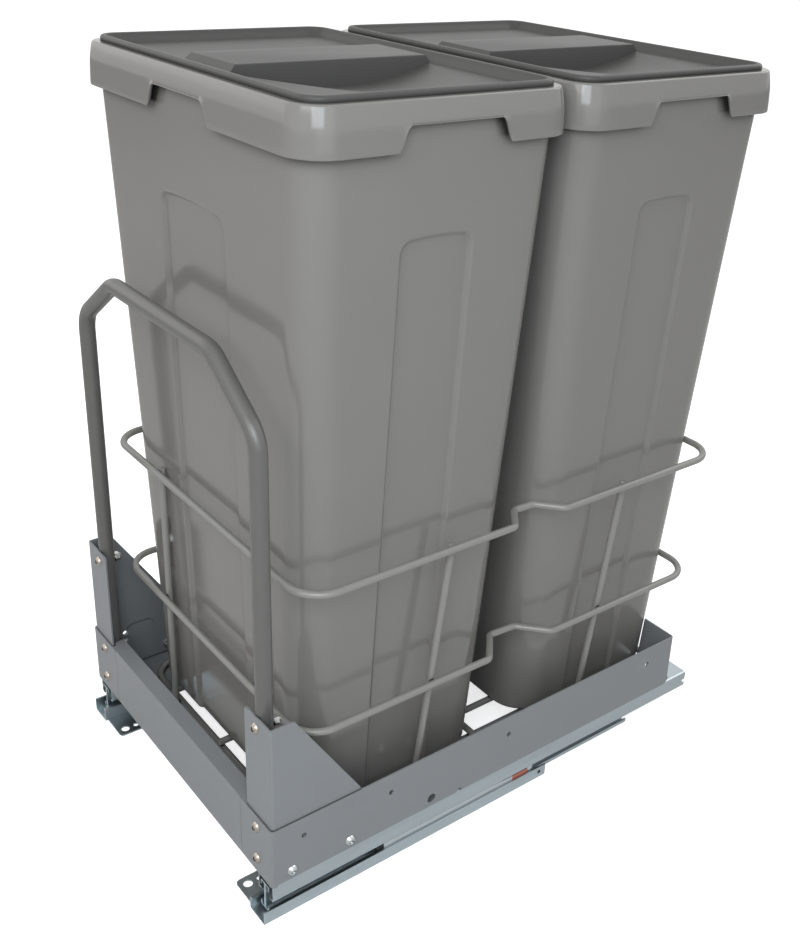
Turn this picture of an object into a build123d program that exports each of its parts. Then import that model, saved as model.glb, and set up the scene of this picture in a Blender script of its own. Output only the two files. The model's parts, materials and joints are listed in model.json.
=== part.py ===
from build123d import *
import os
from math import ceil, sqrt

# Pull-out waste unit for a kitchen base cabinet: two waste bins stand in a wire basket on a
# folded steel frame, and the frame rolls out of the cabinet on two three-member floor slides.
#
# Millimetres. +X is to the right as seen from the front, +Y to the rear, +Z up. Pieces are
# drawn with y measured back from the front face of the frame and z up from the cabinet floor,
# and the whole is then set so that the origin lies on the floor, midway between the two front
# floor screws.

# ---------------------------------------------------------------- driving dimensions

# folded steel frame
frame_width = 344.0
drawer_length = 500.0        # the slide's drawer member, which the frame's depth follows
drawer_reach = 32.0          # the drawer member runs on behind the rails by this much
rail_height = 59.0
sheet = 1.5
bend_radius = 2.5            # outside of a fold
cut_over = 1.0               # cutters run past a face by this much
tight_fold = 1.25            # middle of the sheet in the small folds of the slides
rail_flange = 57.5           # fold under the basket
rail_front_flange = 50.0     # fold at the front corner
rail_rear_flange = 39.3      # fold at the rear corner, at its top
rail_rear_flare = 3.8        # the fold is wider by this much at its foot
rail_rear_foot = 9.0         # underside of that fold above the underside of the rail
rail_rear_chamfer = 7.0
side_hole_radius = 2.5
large_side_hole_radius = 4.5
side_holes = ((30.0, 41.0), (116.5, 40.0), (249.0, 39.0), (433.0, 40.0))
large_side_hole = (161.0, 10.0)
rail_notch_y = 190.0
rail_notch_size = 5.0
crossbar_shelf = 15.0        # depth of the fold on top of the front crossbar
crossbar_foot = 12.0         # depth of the fold under it
shelf_overhang = 14.0        # the shelf runs on behind the rail flanges by this much
shelf_corner = 4.0
plate_edge = 1.35            # rounding of the crossbar's top front edge
lap_width = 8.0              # welded lap of the crossbar behind each rail flange
strap_width = 30.0           # rear cross strap
strap_setback = 4.0
strap_fold = 10.0
strap_slide_gap = 2.5

# gusset brackets
bracket_top = 157.5          # above the underside of the rails
bracket_bottom = 2.5
bracket_flange = 39.5
bracket_side_top = 21.5
bracket_side_depth = 84.5
bracket_slope_foot = 60.5    # height where the sloping rear edge ends
bracket_corner = 4.0
bead_length = 30.0
bead_width = 16.0
bead_height = 1.0
bead_y = 46.0

# handle
handle_radius = 7.0
handle_wall = 1.2
handle_leg_inset = 24.5      # from the side of the frame to the middle of a leg
handle_bottom = 72.0
handle_shoulder = 430.0
handle_shoulder_run = 63.5   # width of each sloping shoulder
handle_top = 474.0
handle_bend = 28.0

# screws and nuts
screw_radius = 2.5
screw_head_radius = 4.75
screw_head_height = 3.2
recess_slot = 1.5
recess_depth = 2.0
thread_gap = 0.05
screw_hole_gap = 0.2
nut_across_flats = 8.0
nut_height = 4.0
screw_tail = 2.0
handle_screw_z = 184.0
front_screw_z = (85.5, 52.5)
side_screw_y = (18.8, 75.0)
side_screw_z = 48.0
rivet_head_radius = 4.0
rivet_head_height = 1.5
rivet_y = (40.0, 235.0, 430.0)

# slides
slide_width = 24.0
slide_inset = 2.5
fixed_length = 310.0
fixed_lead = 6.5             # the fixed member starts this far ahead of the frame
fixed_wall = 13.5
fixed_lip = 3.5
fixed_hole_setback = 8.0
fixed_hole_z = 7.75
fixed_hole_radius = 2.0
middle_length = 420.0
middle_setback = 1.0
middle_width = 13.0
middle_height = 28.0
middle_lip = 5.0
drawer_setback = 2.0
drawer_wall = 18.0
drawer_lip = 4.0
drawer_notch = (4.0, 5.0, 9.0)   # depth of the rear notch, and its heights above the lip
tab_reach = 30.5
tab_length = 24.5
tab_corner = 4.0
tab_inset = 2.5
tab_hole_reach = 22.5        # from the slide's inner side to the middle of the holes
front_floor_hole_y = 4.0
front_floor_hole_radius = 4.1
screw_floor_hole_y = 15.0
screw_floor_hole_radius = 2.6
rear_tab_hole_setback = 12.0

# ball cages in the slides
ball_radius = 1.45
ball_play = 0.3
ball_grip = 0.05
ball_row = 3.5               # each row of balls lies this far from the cage's centre line
ball_pitch = 26.0
cage_thickness = 1.5
lower_cage_start = 114.0
lower_cage_end = 263.0
lower_cage_half = 6.0
rack_offset = 8.5            # centre of the toothed leg from the slide's centre line
rack_thickness = 2.0
rack_top = 19.5
tooth_pitch = 2.5
tooth_depth = 2.5
tooth_flank = 0.3            # share of the pitch that each flank takes
rack_teeth_end = 249.0
stop_length = 19.0
button_radius = 3.0
buffer_length = 8.0
upper_cage_start = 125.0
upper_cage_end = 385.0

# wire basket
wire = 6.4
weld_depth = 0.3
upright_x = 82.0
basket_floor_bend = 25.0
lower_loop_z = 167.0
lower_loop_rear = 488.0
upper_loop_z = 298.0
upper_loop_rear = 493.0
loop_inset = 4.0             # the upper loop lies this far inside the bins' skirts
basket_flare = 5.0           # from the lower loop to the upper one, on each side
loop_front = 35.0
loop_bend = 28.0
waist_bend = 7.0
# inset from the loop's side, and place along it, of the bends between the two bins
lower_waist = ((0.0, 224.0), (28.0, 248.0), (26.0, 275.0), (0.0, 299.0))
upper_waist = ((0.0, 238.0), (22.5, 256.0), (22.0, 277.0), (0.0, 297.0))
long_wire_x = (-95.0, 0.0, 95.0)
cross_wire_y = (110.0, 250.0, 400.0)
side_upright_y = (175.5, 373.5)
side_upright_lean = 24.5

# bins
bin_pitch = 238.5
front_bin_y = 149.5
bin_stand_gap = 0.3
bin_wall = 2.5
bin_floor = 3.0
bin_top = 655.0
skirt_overhang = 2.0         # the skirts stand out over the sides of the frame by this much
skirt_half_depth = 118.0
skirt_corner = 29.0
bin_mouth_inset = 6.5        # from the skirt to the body at the mouth
bin_mouth_corner = 26.0
bin_side_taper = 31.0        # on each side, from the mouth to the foot
bin_end_taper = 15.5
bin_foot_corner = 34.0
bin_foot_shift = -4.0        # the foot stands a little ahead of the mouth
skirt_height = 34.0
skirt_edge = 1.5
crown_height = 13.5          # the skirt leans in over this height at its top
crown_lean = 3.5
seat_inset = 14.0            # from the skirt to the opening on whose edge the lid sits
notch_height = 17.5
side_notch_widths = (96.0, 83.0)
side_notch_shift = 4.5       # the notches of the sides lie this far behind the middle
end_notch_widths = (94.0, 78.0)
notch_corner = 5.0
panel_depth = 3.0
panel_slope = 3.0
side_panel_width = 67.0
end_panel_width = 103.0
panel_top = 560.0

# lids
lid_inset = 10.5             # from the skirt to the lid
lid_corner = 17.0
lid_lip_height = 4.5
lid_lip_width = 5.5
lid_lip_edge = 2.2
lid_wall = 2.5
lid_floor_drop = 3.0         # the tray floor lies this far below the bin's rim
lid_wall_slope = 4.5
lid_plug_gap = 1.2
plateau_left = -46.0
plateau_right = 21.0
plateau_front = -80.0
plateau_rear = 90.0
plateau_height = 6.5
plateau_draft = 5.0
scoop_half_chord = 88.0
scoop_depth = 14.0
scoop_reach = 130.0

# ---------------------------------------------------------------- worked-out sizes

ball_gap = 2 * (ball_radius + ball_play)
slide_height = 2 * sheet + 2 * ball_gap + middle_height
slide_x = frame_width / 2 - slide_inset - slide_width / 2
rail_z = slide_height
frame_half = frame_width / 2
frame_depth = drawer_setback + drawer_length - drawer_reach
skirt_half_width = frame_half + skirt_overhang
bin_mouth_half_width = skirt_half_width - bin_mouth_inset
bin_mouth_half_depth = skirt_half_depth - bin_mouth_inset
bin_foot_half_width = bin_mouth_half_width - bin_side_taper
bin_foot_half_depth = bin_mouth_half_depth - bin_end_taper
seat_half_width = skirt_half_width - seat_inset
seat_half_depth = skirt_half_depth - seat_inset
seat_corner = skirt_corner - seat_inset
lid_half_width = skirt_half_width - lid_inset
lid_half_depth = skirt_half_depth - lid_inset
upper_loop_half = skirt_half_width - loop_inset
lower_loop_half = upper_loop_half - basket_flare
handle_leg_x = frame_half - handle_leg_inset
handle_top_x = handle_leg_x - handle_shoulder_run
floor_hole_x = slide_x - slide_width / 2 - tab_hole_reach
rail_top_z = rail_z + rail_height
flange_top_z = rail_z + sheet
crossbar_half = frame_half - rail_front_flange - weld_depth
bracket_y = sheet
bracket_back = 2 * sheet
handle_y = bracket_back + handle_radius
floor_wire_z = flange_top_z + wire / 2
long_wire_z = floor_wire_z + wire - weld_depth
bin_foot_z = long_wire_z + wire / 2 + bin_stand_gap
rear_bin_y = front_bin_y + bin_pitch
weld_step = wire - weld_depth
middle_z = sheet + ball_gap
middle_top_z = middle_z + middle_height
upper_ball_z = middle_top_z + ball_gap / 2
lower_ball_z = sheet + ball_gap / 2
loop_rise = upper_loop_z - lower_loop_z
side_lean = (upper_loop_half - lower_loop_half) / loop_rise
rear_lean = (upper_loop_rear - lower_loop_rear) / loop_rise
basket_floor_half = lower_loop_half - 2 * weld_step - side_lean * (lower_loop_z - floor_wire_z)
basket_floor_front = loop_front + 2 * weld_step
basket_floor_rear = lower_loop_rear - rear_lean * (lower_loop_z - floor_wire_z)

pieces = {}


def add_pair(name, right):
    """Keep a piece of the right-hand side and its mirror image on the left."""
    pieces[name + "_right"] = right
    pieces[name + "_left"] = mirror(right, about=Plane.YZ)


def block(x0, x1, y0, y1, z0, z1):
    """A box between two opposite corners."""
    middle = ((x0 + x1) / 2, (y0 + y1) / 2, (z0 + z1) / 2)
    return Pos(*middle) * Box(abs(x1 - x0), abs(y1 - y0), abs(z1 - z0))


def fold_length(points, y0, length, radius=bend_radius - sheet / 2):
    """Sheet folded to a line of points in X and Z, running back from y0."""
    line = FilletPolyline(*points, radius=radius)
    section = Plane(origin=(0, y0, 0), x_dir=(1, 0, 0), z_dir=(0, -1, 0))
    return extrude(section * trace(line, line_width=sheet), amount=-length)


def fold_upright(points, z0, height):
    """Sheet folded to a line of points in X and Y, standing up from z0."""
    line = FilletPolyline(*points, radius=bend_radius - sheet / 2)
    return extrude(Pos(0, 0, z0) * trace(line, line_width=sheet), amount=height)


def hole_x(y, z, radius, x0, x1):
    """A round cutter along X."""
    return Pos((x0 + x1) / 2, y, z) * Rot(0, 90, 0) * Cylinder(radius, abs(x1 - x0))


def hole_y(x, z, radius, y0, y1):
    """A round cutter along Y."""
    return Pos(x, (y0 + y1) / 2, z) * Rot(90, 0, 0) * Cylinder(radius, abs(y1 - y0))


def hole_z(x, y, radius, z0, z1):
    """A round cutter along Z."""
    return Pos(x, y, (z0 + z1) / 2) * Cylinder(radius, abs(z1 - z0))


def side_profile(points, x0, x1):
    """A plate of any outline in Y and Z, between two values of x."""
    outline = Plane(origin=(x0, 0, 0), x_dir=(0, 1, 0), z_dir=(1, 0, 0))
    return extrude(outline * make_face(Polyline(*points, close=True)), amount=x1 - x0)


def end_profile(points, y0, y1):
    """A plate of any outline in X and Z, between two values of y."""
    outline = Plane(origin=(0, y0, 0), x_dir=(1, 0, 0), z_dir=(0, -1, 0))
    return extrude(outline * make_face(Polyline(*points, close=True)), amount=-(y1 - y0))


# ---------------------------------------------------------------- slides

def fixed_member():
    """Channel screwed to the cabinet floor, with a floor tab at each end."""
    half = slide_width / 2 - sheet / 2
    mid = sheet / 2
    section = (
        (slide_x - half + fixed_lip, fixed_wall - mid),
        (slide_x - half, fixed_wall - mid),
        (slide_x - half, mid),
        (slide_x + half, mid),
        (slide_x + half, fixed_wall),
    )
    start = -fixed_lead
    end = start + fixed_length
    body = fold_length(section, start, fixed_length, tight_fold)
    tab_out = slide_x - slide_width / 2 + sheet
    tab_in = tab_out - sheet - tab_reach
    for tab_start in (start + tab_inset, end - tab_length):
        tab = block(tab_in, tab_out + bend_radius, tab_start, tab_start + tab_length, 0, sheet)
        corners = tab.edges().filter_by(Axis.Z).group_by(Axis.X)[0]
        body += fillet(corners, tab_corner)
    body -= hole_z(floor_hole_x, front_floor_hole_y, front_floor_hole_radius, -cut_over,
                   sheet + cut_over)
    for hole_place in (screw_floor_hole_y, end - rear_tab_hole_setback):
        body -= hole_z(floor_hole_x, hole_place, screw_floor_hole_radius, -cut_over,
                       sheet + cut_over)
    outer = slide_x + slide_width / 2
    body -= hole_x(end - fixed_hole_setback, fixed_hole_z, fixed_hole_radius, outer - 2 * sheet,
                   outer + cut_over)
    return body


def middle_member():
    """Two channels welded back to back, which run on balls under and over them."""
    edge = middle_width / 2 - sheet / 2
    low = middle_z + sheet / 2
    high = middle_top_z - sheet / 2
    web_height = middle_height - 2 * sheet
    section = Pos(0, (low + high) / 2) * Rectangle(2 * sheet, web_height + sheet)
    for z, lip_end in ((low, middle_z + middle_lip), (high, middle_top_z - middle_lip)):
        points = ((-edge, lip_end), (-edge, z), (edge, z), (edge, lip_end))
        section += trace(FilletPolyline(*points, radius=tight_fold), line_width=sheet)
    face = Plane(origin=(slide_x, middle_setback, 0), x_dir=(1, 0, 0), z_dir=(0, -1, 0))
    return extrude(face * section, amount=-middle_length)


def drawer_member():
    """Cover channel under the side rail, open at the bottom."""
    half = slide_width / 2 - sheet / 2
    low = slide_height - drawer_wall
    section = (
        (slide_x - half + drawer_lip, low + sheet / 2),
        (slide_x - half, low + sheet / 2),
        (slide_x - half, slide_height - sheet / 2),
        (slide_x + half, slide_height - sheet / 2),
        (slide_x + half, low + sheet / 2),
        (slide_x + half - drawer_lip, low + sheet / 2),
    )
    body = fold_length(section, drawer_setback, drawer_length, tight_fold)
    end = drawer_setback + drawer_length
    notch_depth, notch_low, notch_high = drawer_notch
    body -= block(slide_x, slide_x + slide_width, end - notch_depth, end + cut_over, low + notch_low,
                  low + notch_high)
    for place in rivet_y:
        body -= hole_z(slide_x, place, screw_radius + thread_gap, slide_height - 2 * sheet,
                       slide_height + cut_over)
    return body


def ball_places(start, end):
    """Evenly spaced places of the balls along a cage."""
    clear = end - start - ball_pitch
    count = ceil(clear / ball_pitch)
    first = start + ball_pitch / 2
    return [first + clear * i / count for i in range(count + 1)]


def cage_balls(start, end, z):
    """Two rows of balls, each ball a solid of its own."""
    balls = []
    for place in ball_places(start, end):
        for row in (-ball_row, ball_row):
            balls.append(Pos(slide_x + row, place, z) * Sphere(ball_radius))
    return balls


def cage_strip(start, end, z, half):
    """Flat cage with a pocket for each ball."""
    low = z - cage_thickness / 2
    strip = block(slide_x - half, slide_x + half, start, end, low, low + cage_thickness)
    for place in ball_places(start, end):
        for row in (-ball_row, ball_row):
            strip -= hole_z(slide_x + row, place, ball_radius - ball_grip, low - cut_over,
                            low + cage_thickness + cut_over)
    return strip


def rack_outline():
    """Side view of the toothed leg: a comb of teeth along its top edge."""
    low = lower_ball_z - cage_thickness / 2
    gullet = rack_top - tooth_depth
    points = [(lower_cage_end, low), (lower_cage_start, low)]
    count = int((rack_teeth_end - lower_cage_start) / tooth_pitch)
    for i in range(count):
        y = lower_cage_start + i * tooth_pitch
        points.append((y, gullet))
        points.append((y + tooth_flank * tooth_pitch, rack_top))
        points.append((y + (1 - tooth_flank) * tooth_pitch, rack_top))
    points.append((lower_cage_start + count * tooth_pitch, gullet))
    points.append((lower_cage_end, gullet))
    return points


def lower_cage():
    """Cage with a toothed leg that shows in the slot between the slide members."""
    rack_in = slide_x + rack_offset - rack_thickness / 2
    rack_out = rack_in + rack_thickness
    strip = cage_strip(lower_cage_start, lower_cage_end, lower_ball_z, lower_cage_half)
    low = lower_ball_z - cage_thickness / 2
    foot = block(slide_x, rack_out, lower_cage_start, lower_cage_end, low, low + cage_thickness)
    for place in ball_places(lower_cage_start, lower_cage_end):
        foot -= hole_z(slide_x + ball_row, place, ball_radius - ball_grip, low - cut_over,
                       low + cage_thickness + cut_over)
    return strip + foot + side_profile(rack_outline(), rack_in, rack_out)


def rack_block(start, end, z_low, z_high):
    """A block in line with the toothed leg."""
    rack_in = slide_x + rack_offset - rack_thickness / 2
    return block(rack_in, rack_in + rack_thickness, start, end, z_low, z_high)


def cage_button():
    """Round white catch behind the stop block."""
    rack_in = slide_x + rack_offset - rack_thickness / 2
    place = lower_cage_end + stop_length + button_radius
    z = rack_top - button_radius
    return hole_x(place, z, button_radius, rack_in, rack_in + rack_thickness)


def make_slides():
    """Both three-member slides with their cages."""
    gullet = rack_top - tooth_depth
    low = lower_ball_z - cage_thickness / 2
    add_pair("fixed_member", fixed_member())
    add_pair("middle_member", middle_member())
    add_pair("drawer_member", drawer_member())
    add_pair("lower_cage", lower_cage())
    add_pair("lower_cage_balls", Compound(cage_balls(lower_cage_start, lower_cage_end, lower_ball_z)))
    add_pair("cage_stop", rack_block(lower_cage_end, lower_cage_end + stop_length, low, gullet))
    add_pair("cage_button", cage_button())
    add_pair("cage_buffer", rack_block(lower_cage_start - buffer_length, lower_cage_start, low, gullet))
    upper_half = middle_width / 2 - ball_play
    add_pair("upper_cage", cage_strip(upper_cage_start, upper_cage_end, upper_ball_z, upper_half))
    add_pair("upper_cage_balls", Compound(cage_balls(upper_cage_start, upper_cage_end, upper_ball_z)))


# ---------------------------------------------------------------- frame

def side_rail():
    """Folded side rail: wall, fold under the basket, front flange and rear flange."""
    wall_x = frame_half - sheet / 2
    section = (
        (wall_x, rail_top_z),
        (wall_x, rail_z + sheet / 2),
        (frame_half - rail_flange, rail_z + sheet / 2),
    )
    rail = fold_length(section, bend_radius, frame_depth - bend_radius)
    corner = (
        (frame_half - rail_front_flange, sheet / 2),
        (wall_x, sheet / 2),
        (wall_x, 2 * bend_radius),
    )
    rail += fold_upright(corner, rail_z, rail_height)
    rear_low = rail_z + rail_rear_foot
    rail -= block(frame_half - 2 * sheet, frame_half + cut_over, frame_depth - bend_radius,
                  frame_depth + cut_over, rear_low, rail_top_z + cut_over)
    fold_top_x = frame_half - rail_rear_flange
    fold_foot_x = fold_top_x - rail_rear_flare
    rear_corner = (
        (fold_foot_x, frame_depth - sheet / 2),
        (wall_x, frame_depth - sheet / 2),
        (wall_x, frame_depth - 2 * bend_radius),
    )
    rail += fold_upright(rear_corner, rear_low, rail_top_z - rear_low)
    beyond = frame_depth + cut_over
    slope = Polyline((fold_foot_x, beyond, rear_low), (fold_top_x, beyond, rail_top_z),
                     (fold_foot_x, beyond, rail_top_z), close=True)
    rail -= extrude(make_face(slope), amount=3 * sheet, dir=(0, -1, 0))
    chamfer_points = (
        (frame_depth - rail_rear_chamfer, rail_z - cut_over),
        (frame_depth + cut_over, rail_z - cut_over),
        (frame_depth + cut_over, rail_z + rail_rear_chamfer),
    )
    rail -= side_profile(chamfer_points, frame_half - 2 * sheet, frame_half + cut_over)
    inside = frame_half - 2 * sheet
    outside = frame_half + cut_over
    for y, z in side_holes:
        rail -= hole_x(y, rail_z + z, side_hole_radius, inside, outside)
    rail -= hole_x(large_side_hole[0], rail_z + large_side_hole[1], large_side_hole_radius,
                   inside, outside)
    rail -= block(inside, outside, rail_notch_y, rail_notch_y + rail_notch_size,
                  rail_z - cut_over, rail_z + rail_notch_size)
    clear = screw_radius + screw_hole_gap
    for y in side_screw_y:
        rail -= hole_x(y, side_screw_z, clear, inside, outside)
    for z in front_screw_z:
        rail -= hole_y(handle_leg_x, z, clear, -cut_over, sheet + cut_over)
    for y in rivet_y:
        rail -= hole_z(slide_x, y, screw_radius + thread_gap, rail_z - cut_over,
                       flange_top_z + cut_over)
    return rail


def front_crossbar():
    """Front plate flush with the rail flanges, with a shelf folded back along its top."""
    mid = sheet / 2
    inner = crossbar_half
    foot_half = frame_half - rail_flange - sheet
    plate = block(-inner, inner, 0, sheet, rail_z, rail_top_z)
    top_edge = plate.edges().filter_by(Axis.X).group_by(Axis.Z)[-1].sort_by(Axis.Y)[0]
    bar = fillet(top_edge, plate_edge)
    bar += block(-foot_half, foot_half, mid, crossbar_foot, rail_z, rail_z + sheet)
    lap = inner + lap_width
    for side in (-1, 1):
        bar += block(side * (inner - 2 * sheet), side * lap, sheet, bracket_back, rail_z + sheet,
                     rail_top_z)
    shelf_low = rail_top_z - sheet
    shelf_half = inner + shelf_overhang
    bar += block(-inner, inner, mid, crossbar_shelf, shelf_low, rail_top_z)
    bar += block(-lap, lap, sheet, crossbar_shelf - shelf_corner, shelf_low, rail_top_z)
    wings = block(-shelf_half, shelf_half, bracket_back + sheet, crossbar_shelf, shelf_low, rail_top_z)
    bar += fillet(wings.edges().filter_by(Axis.Z), shelf_corner)
    return bar


def rear_strap():
    """Shallow channel welded under the rear ends of the two rails."""
    half = slide_x - slide_width / 2 - strap_slide_gap
    rear = frame_depth - strap_setback
    front = rear - strap_width
    strap = block(-half, half, front, rear, rail_z - sheet, rail_z)
    for y0 in (front, rear - sheet):
        strap += block(-half, half, y0, y0 + sheet, rail_z - strap_fold, rail_z)
    return strap


def gusset_bracket():
    """Folded bracket that carries a handle leg, inside the corner of rail and front."""
    outer = frame_half - sheet
    mid = sheet / 2
    low = rail_z + bracket_bottom
    high = rail_z + bracket_top
    corner = (
        (outer - bracket_flange, bracket_y + mid),
        (outer - mid, bracket_y + mid),
        (outer - mid, bracket_y + bracket_side_depth),
    )
    bracket = fold_upright(corner, low, high - low)
    cut_top = rail_z + bracket_slope_foot
    slope = (
        (bracket_y + bracket_side_top, high + cut_over),
        (bracket_y + bracket_side_top, high),
        (bracket_y + bracket_side_depth, cut_top),
        (bracket_y + bracket_side_depth + cut_over, cut_top),
        (bracket_y + bracket_side_depth + cut_over, high + cut_over),
    )
    bracket -= side_profile(slope, outer - 2 * sheet, outer + cut_over)
    side_edges = bracket.edges().filter_by(Axis.X)
    corner_y = bracket_y + bracket_side_top - cut_over
    corner_z = cut_top - cut_over
    rounded = side_edges.filter_by(lambda e: e.center().Y > corner_y and e.center().Z > corner_z)
    bracket = fillet(rounded, bracket_corner)
    front_corner = bracket.edges().filter_by(Axis.Y).group_by(Axis.X)[0].sort_by(Axis.Z)[-1]
    bracket = fillet(front_corner, bracket_corner)
    inner = outer - sheet
    hole = side_holes[0]
    bead = Plane(origin=(inner, bead_y, rail_z + hole[1]), x_dir=(0, 1, 0), z_dir=(1, 0, 0))
    bracket += extrude(bead * SlotOverall(bead_length, bead_width), amount=-bead_height)
    clear = screw_radius + screw_hole_gap
    bracket -= hole_x(hole[0], rail_z + hole[1], side_hole_radius, inner - 2 * bead_height,
                      outer + cut_over)
    for y in side_screw_y:
        bracket -= hole_x(y, side_screw_z, clear, inner - cut_over, outer + cut_over)
    for z in (handle_screw_z,) + front_screw_z:
        bracket -= hole_y(handle_leg_x, z, clear, 0, bracket_back + cut_over)
    return bracket


def handle_tube():
    """One bent tube: two legs, sloping shoulders and a straight grip."""
    points = (
        (-handle_leg_x, handle_y, handle_bottom),
        (-handle_leg_x, handle_y, handle_shoulder),
        (-handle_top_x, handle_y, handle_top),
        (handle_top_x, handle_y, handle_top),
        (handle_leg_x, handle_y, handle_shoulder),
        (handle_leg_x, handle_y, handle_bottom),
    )
    path = FilletPolyline(*points, radius=handle_bend)
    end = Plane(origin=points[0], z_dir=(0, 0, 1))
    tube = sweep(end * Circle(handle_radius), path=path)
    tube -= sweep(end * Circle(handle_radius - handle_wall), path=path)
    clear = screw_radius + screw_hole_gap
    for side in (-1, 1):
        for z in (handle_screw_z, front_screw_z[0]):
            tube -= hole_y(side * handle_leg_x, z, clear, 0, handle_y + 2 * handle_radius)
    return tube


def screw(length):
    """Pan-head screw along -Z: its head stands on z = 0 and its shank hangs below."""
    dome = (screw_head_radius ** 2 + screw_head_height ** 2) / (2 * screw_head_height)
    head = Pos(0, 0, screw_head_height - dome) * Sphere(dome)
    head &= Pos(0, 0, screw_head_height) * Box(4 * dome, 4 * dome, 2 * screw_head_height)
    head -= cross_recess()
    return head + Pos(0, 0, -length / 2) * Cylinder(screw_radius, length)


def cross_recess():
    """Cross-shaped driver recess in the top of a screw head."""
    reach = screw_head_radius
    place = Pos(0, 0, screw_head_height)
    return place * (Box(reach, recess_slot, 2 * recess_depth) + Box(recess_slot, reach, 2 * recess_depth))


def nut():
    """Hexagon nut standing on z = 0."""
    corner_radius = nut_across_flats / sqrt(3)
    body = extrude(RegularPolygon(corner_radius, 6), amount=nut_height)
    bore = Pos(0, 0, nut_height / 2) * Cylinder(screw_radius + thread_gap, 2 * nut_height)
    return body - bore


def facing_front(piece, x, y, z):
    """Turn a piece drawn along +Z to face the front."""
    return Pos(x, y, z) * Rot(90, 0, 0) * piece


def facing_rear(piece, x, y, z):
    """Turn a piece drawn along +Z to face the rear."""
    return Pos(x, y, z) * Rot(-90, 0, 0) * piece


def facing_side(piece, x, y, z, side):
    """Turn a piece drawn along +Z to face outwards on one side."""
    return Pos(x, y, z) * Rot(0, side * 90, 0) * piece


def make_fasteners():
    """All screws, nuts and rivets, each kind in one group of separate solids."""
    tube_back = handle_y + handle_radius
    to_tube = tube_back + nut_height + screw_tail
    to_bracket = bracket_back + nut_height + screw_tail
    groups = {"handle_screws": [], "handle_nuts": [], "bracket_front_screws": [],
              "bracket_front_nuts": [], "bracket_side_screws": [], "bracket_side_nuts": [],
              "slide_rivets": []}
    for side in (-1, 1):
        x = side * handle_leg_x
        groups["handle_screws"].append(
            facing_front(screw(to_tube - bracket_y), x, bracket_y, handle_screw_z))
        groups["handle_nuts"].append(facing_rear(nut(), x, tube_back, handle_screw_z))
        for z, reach, back in ((front_screw_z[0], to_tube, tube_back),
                               (front_screw_z[1], to_bracket, bracket_back)):
            groups["bracket_front_screws"].append(facing_front(screw(reach), x, 0, z))
            groups["bracket_front_nuts"].append(facing_rear(nut(), x, back, z))
        nut_face = side * (frame_half - 2 * sheet)
        for y in side_screw_y:
            shank = 2 * sheet + nut_height + screw_tail
            groups["bracket_side_screws"].append(
                facing_side(screw(shank), side * frame_half, y, side_screw_z, side))
            groups["bracket_side_nuts"].append(
                facing_side(nut(), nut_face, y, side_screw_z, -side))
        for y in rivet_y:
            shank = hole_z(side * slide_x, y, screw_radius, rail_z - sheet, flange_top_z)
            head = hole_z(side * slide_x, y, rivet_head_radius, flange_top_z,
                          flange_top_z + rivet_head_height)
            groups["slide_rivets"].append(shank + head)
    for name, solids in groups.items():
        pieces[name] = Compound(solids)


def make_frame():
    """Rails, crossbar, strap, brackets and handle."""
    add_pair("side_rail", side_rail())
    pieces["front_crossbar"] = front_crossbar()
    pieces["rear_strap"] = rear_strap()
    add_pair("gusset_bracket", gusset_bracket())
    pieces["handle_tube"] = handle_tube()
    make_fasteners()


# ---------------------------------------------------------------- wire basket

def closed_wire(points, bends):
    """Round wire bent to a closed ring through the points, with a bend at each."""
    path = FilletPolyline(*points, radius=bends, close=True)
    section = Plane(origin=path @ 0, z_dir=path % 0) * Circle(wire / 2)
    return sweep(section, path=path)


def straight_wire(start, end):
    """Straight round wire between two points."""
    path = Line(start, end)
    section = Plane(origin=start, z_dir=path % 0) * Circle(wire / 2)
    return sweep(section, path=path)


def waisted_loop(half, rear, z, waist):
    """Loop round both bins, drawn in where they meet."""
    right = [(half, loop_front, z)] + [(half - inset, y, z) for inset, y in waist] + [(half, rear, z)]
    left = [(-x, y, z) for x, y, z in reversed(right)]
    side_bends = [loop_bend] + [waist_bend] * len(waist) + [loop_bend]
    return closed_wire(right + left, side_bends + side_bends)


def floor_loop():
    """Rectangular loop that rests on the rails."""
    half = basket_floor_half
    z = floor_wire_z
    corners = (
        (half, basket_floor_front, z),
        (half, basket_floor_rear, z),
        (-half, basket_floor_rear, z),
        (-half, basket_floor_front, z),
    )
    return closed_wire(corners, [basket_floor_bend] * 4)


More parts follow.
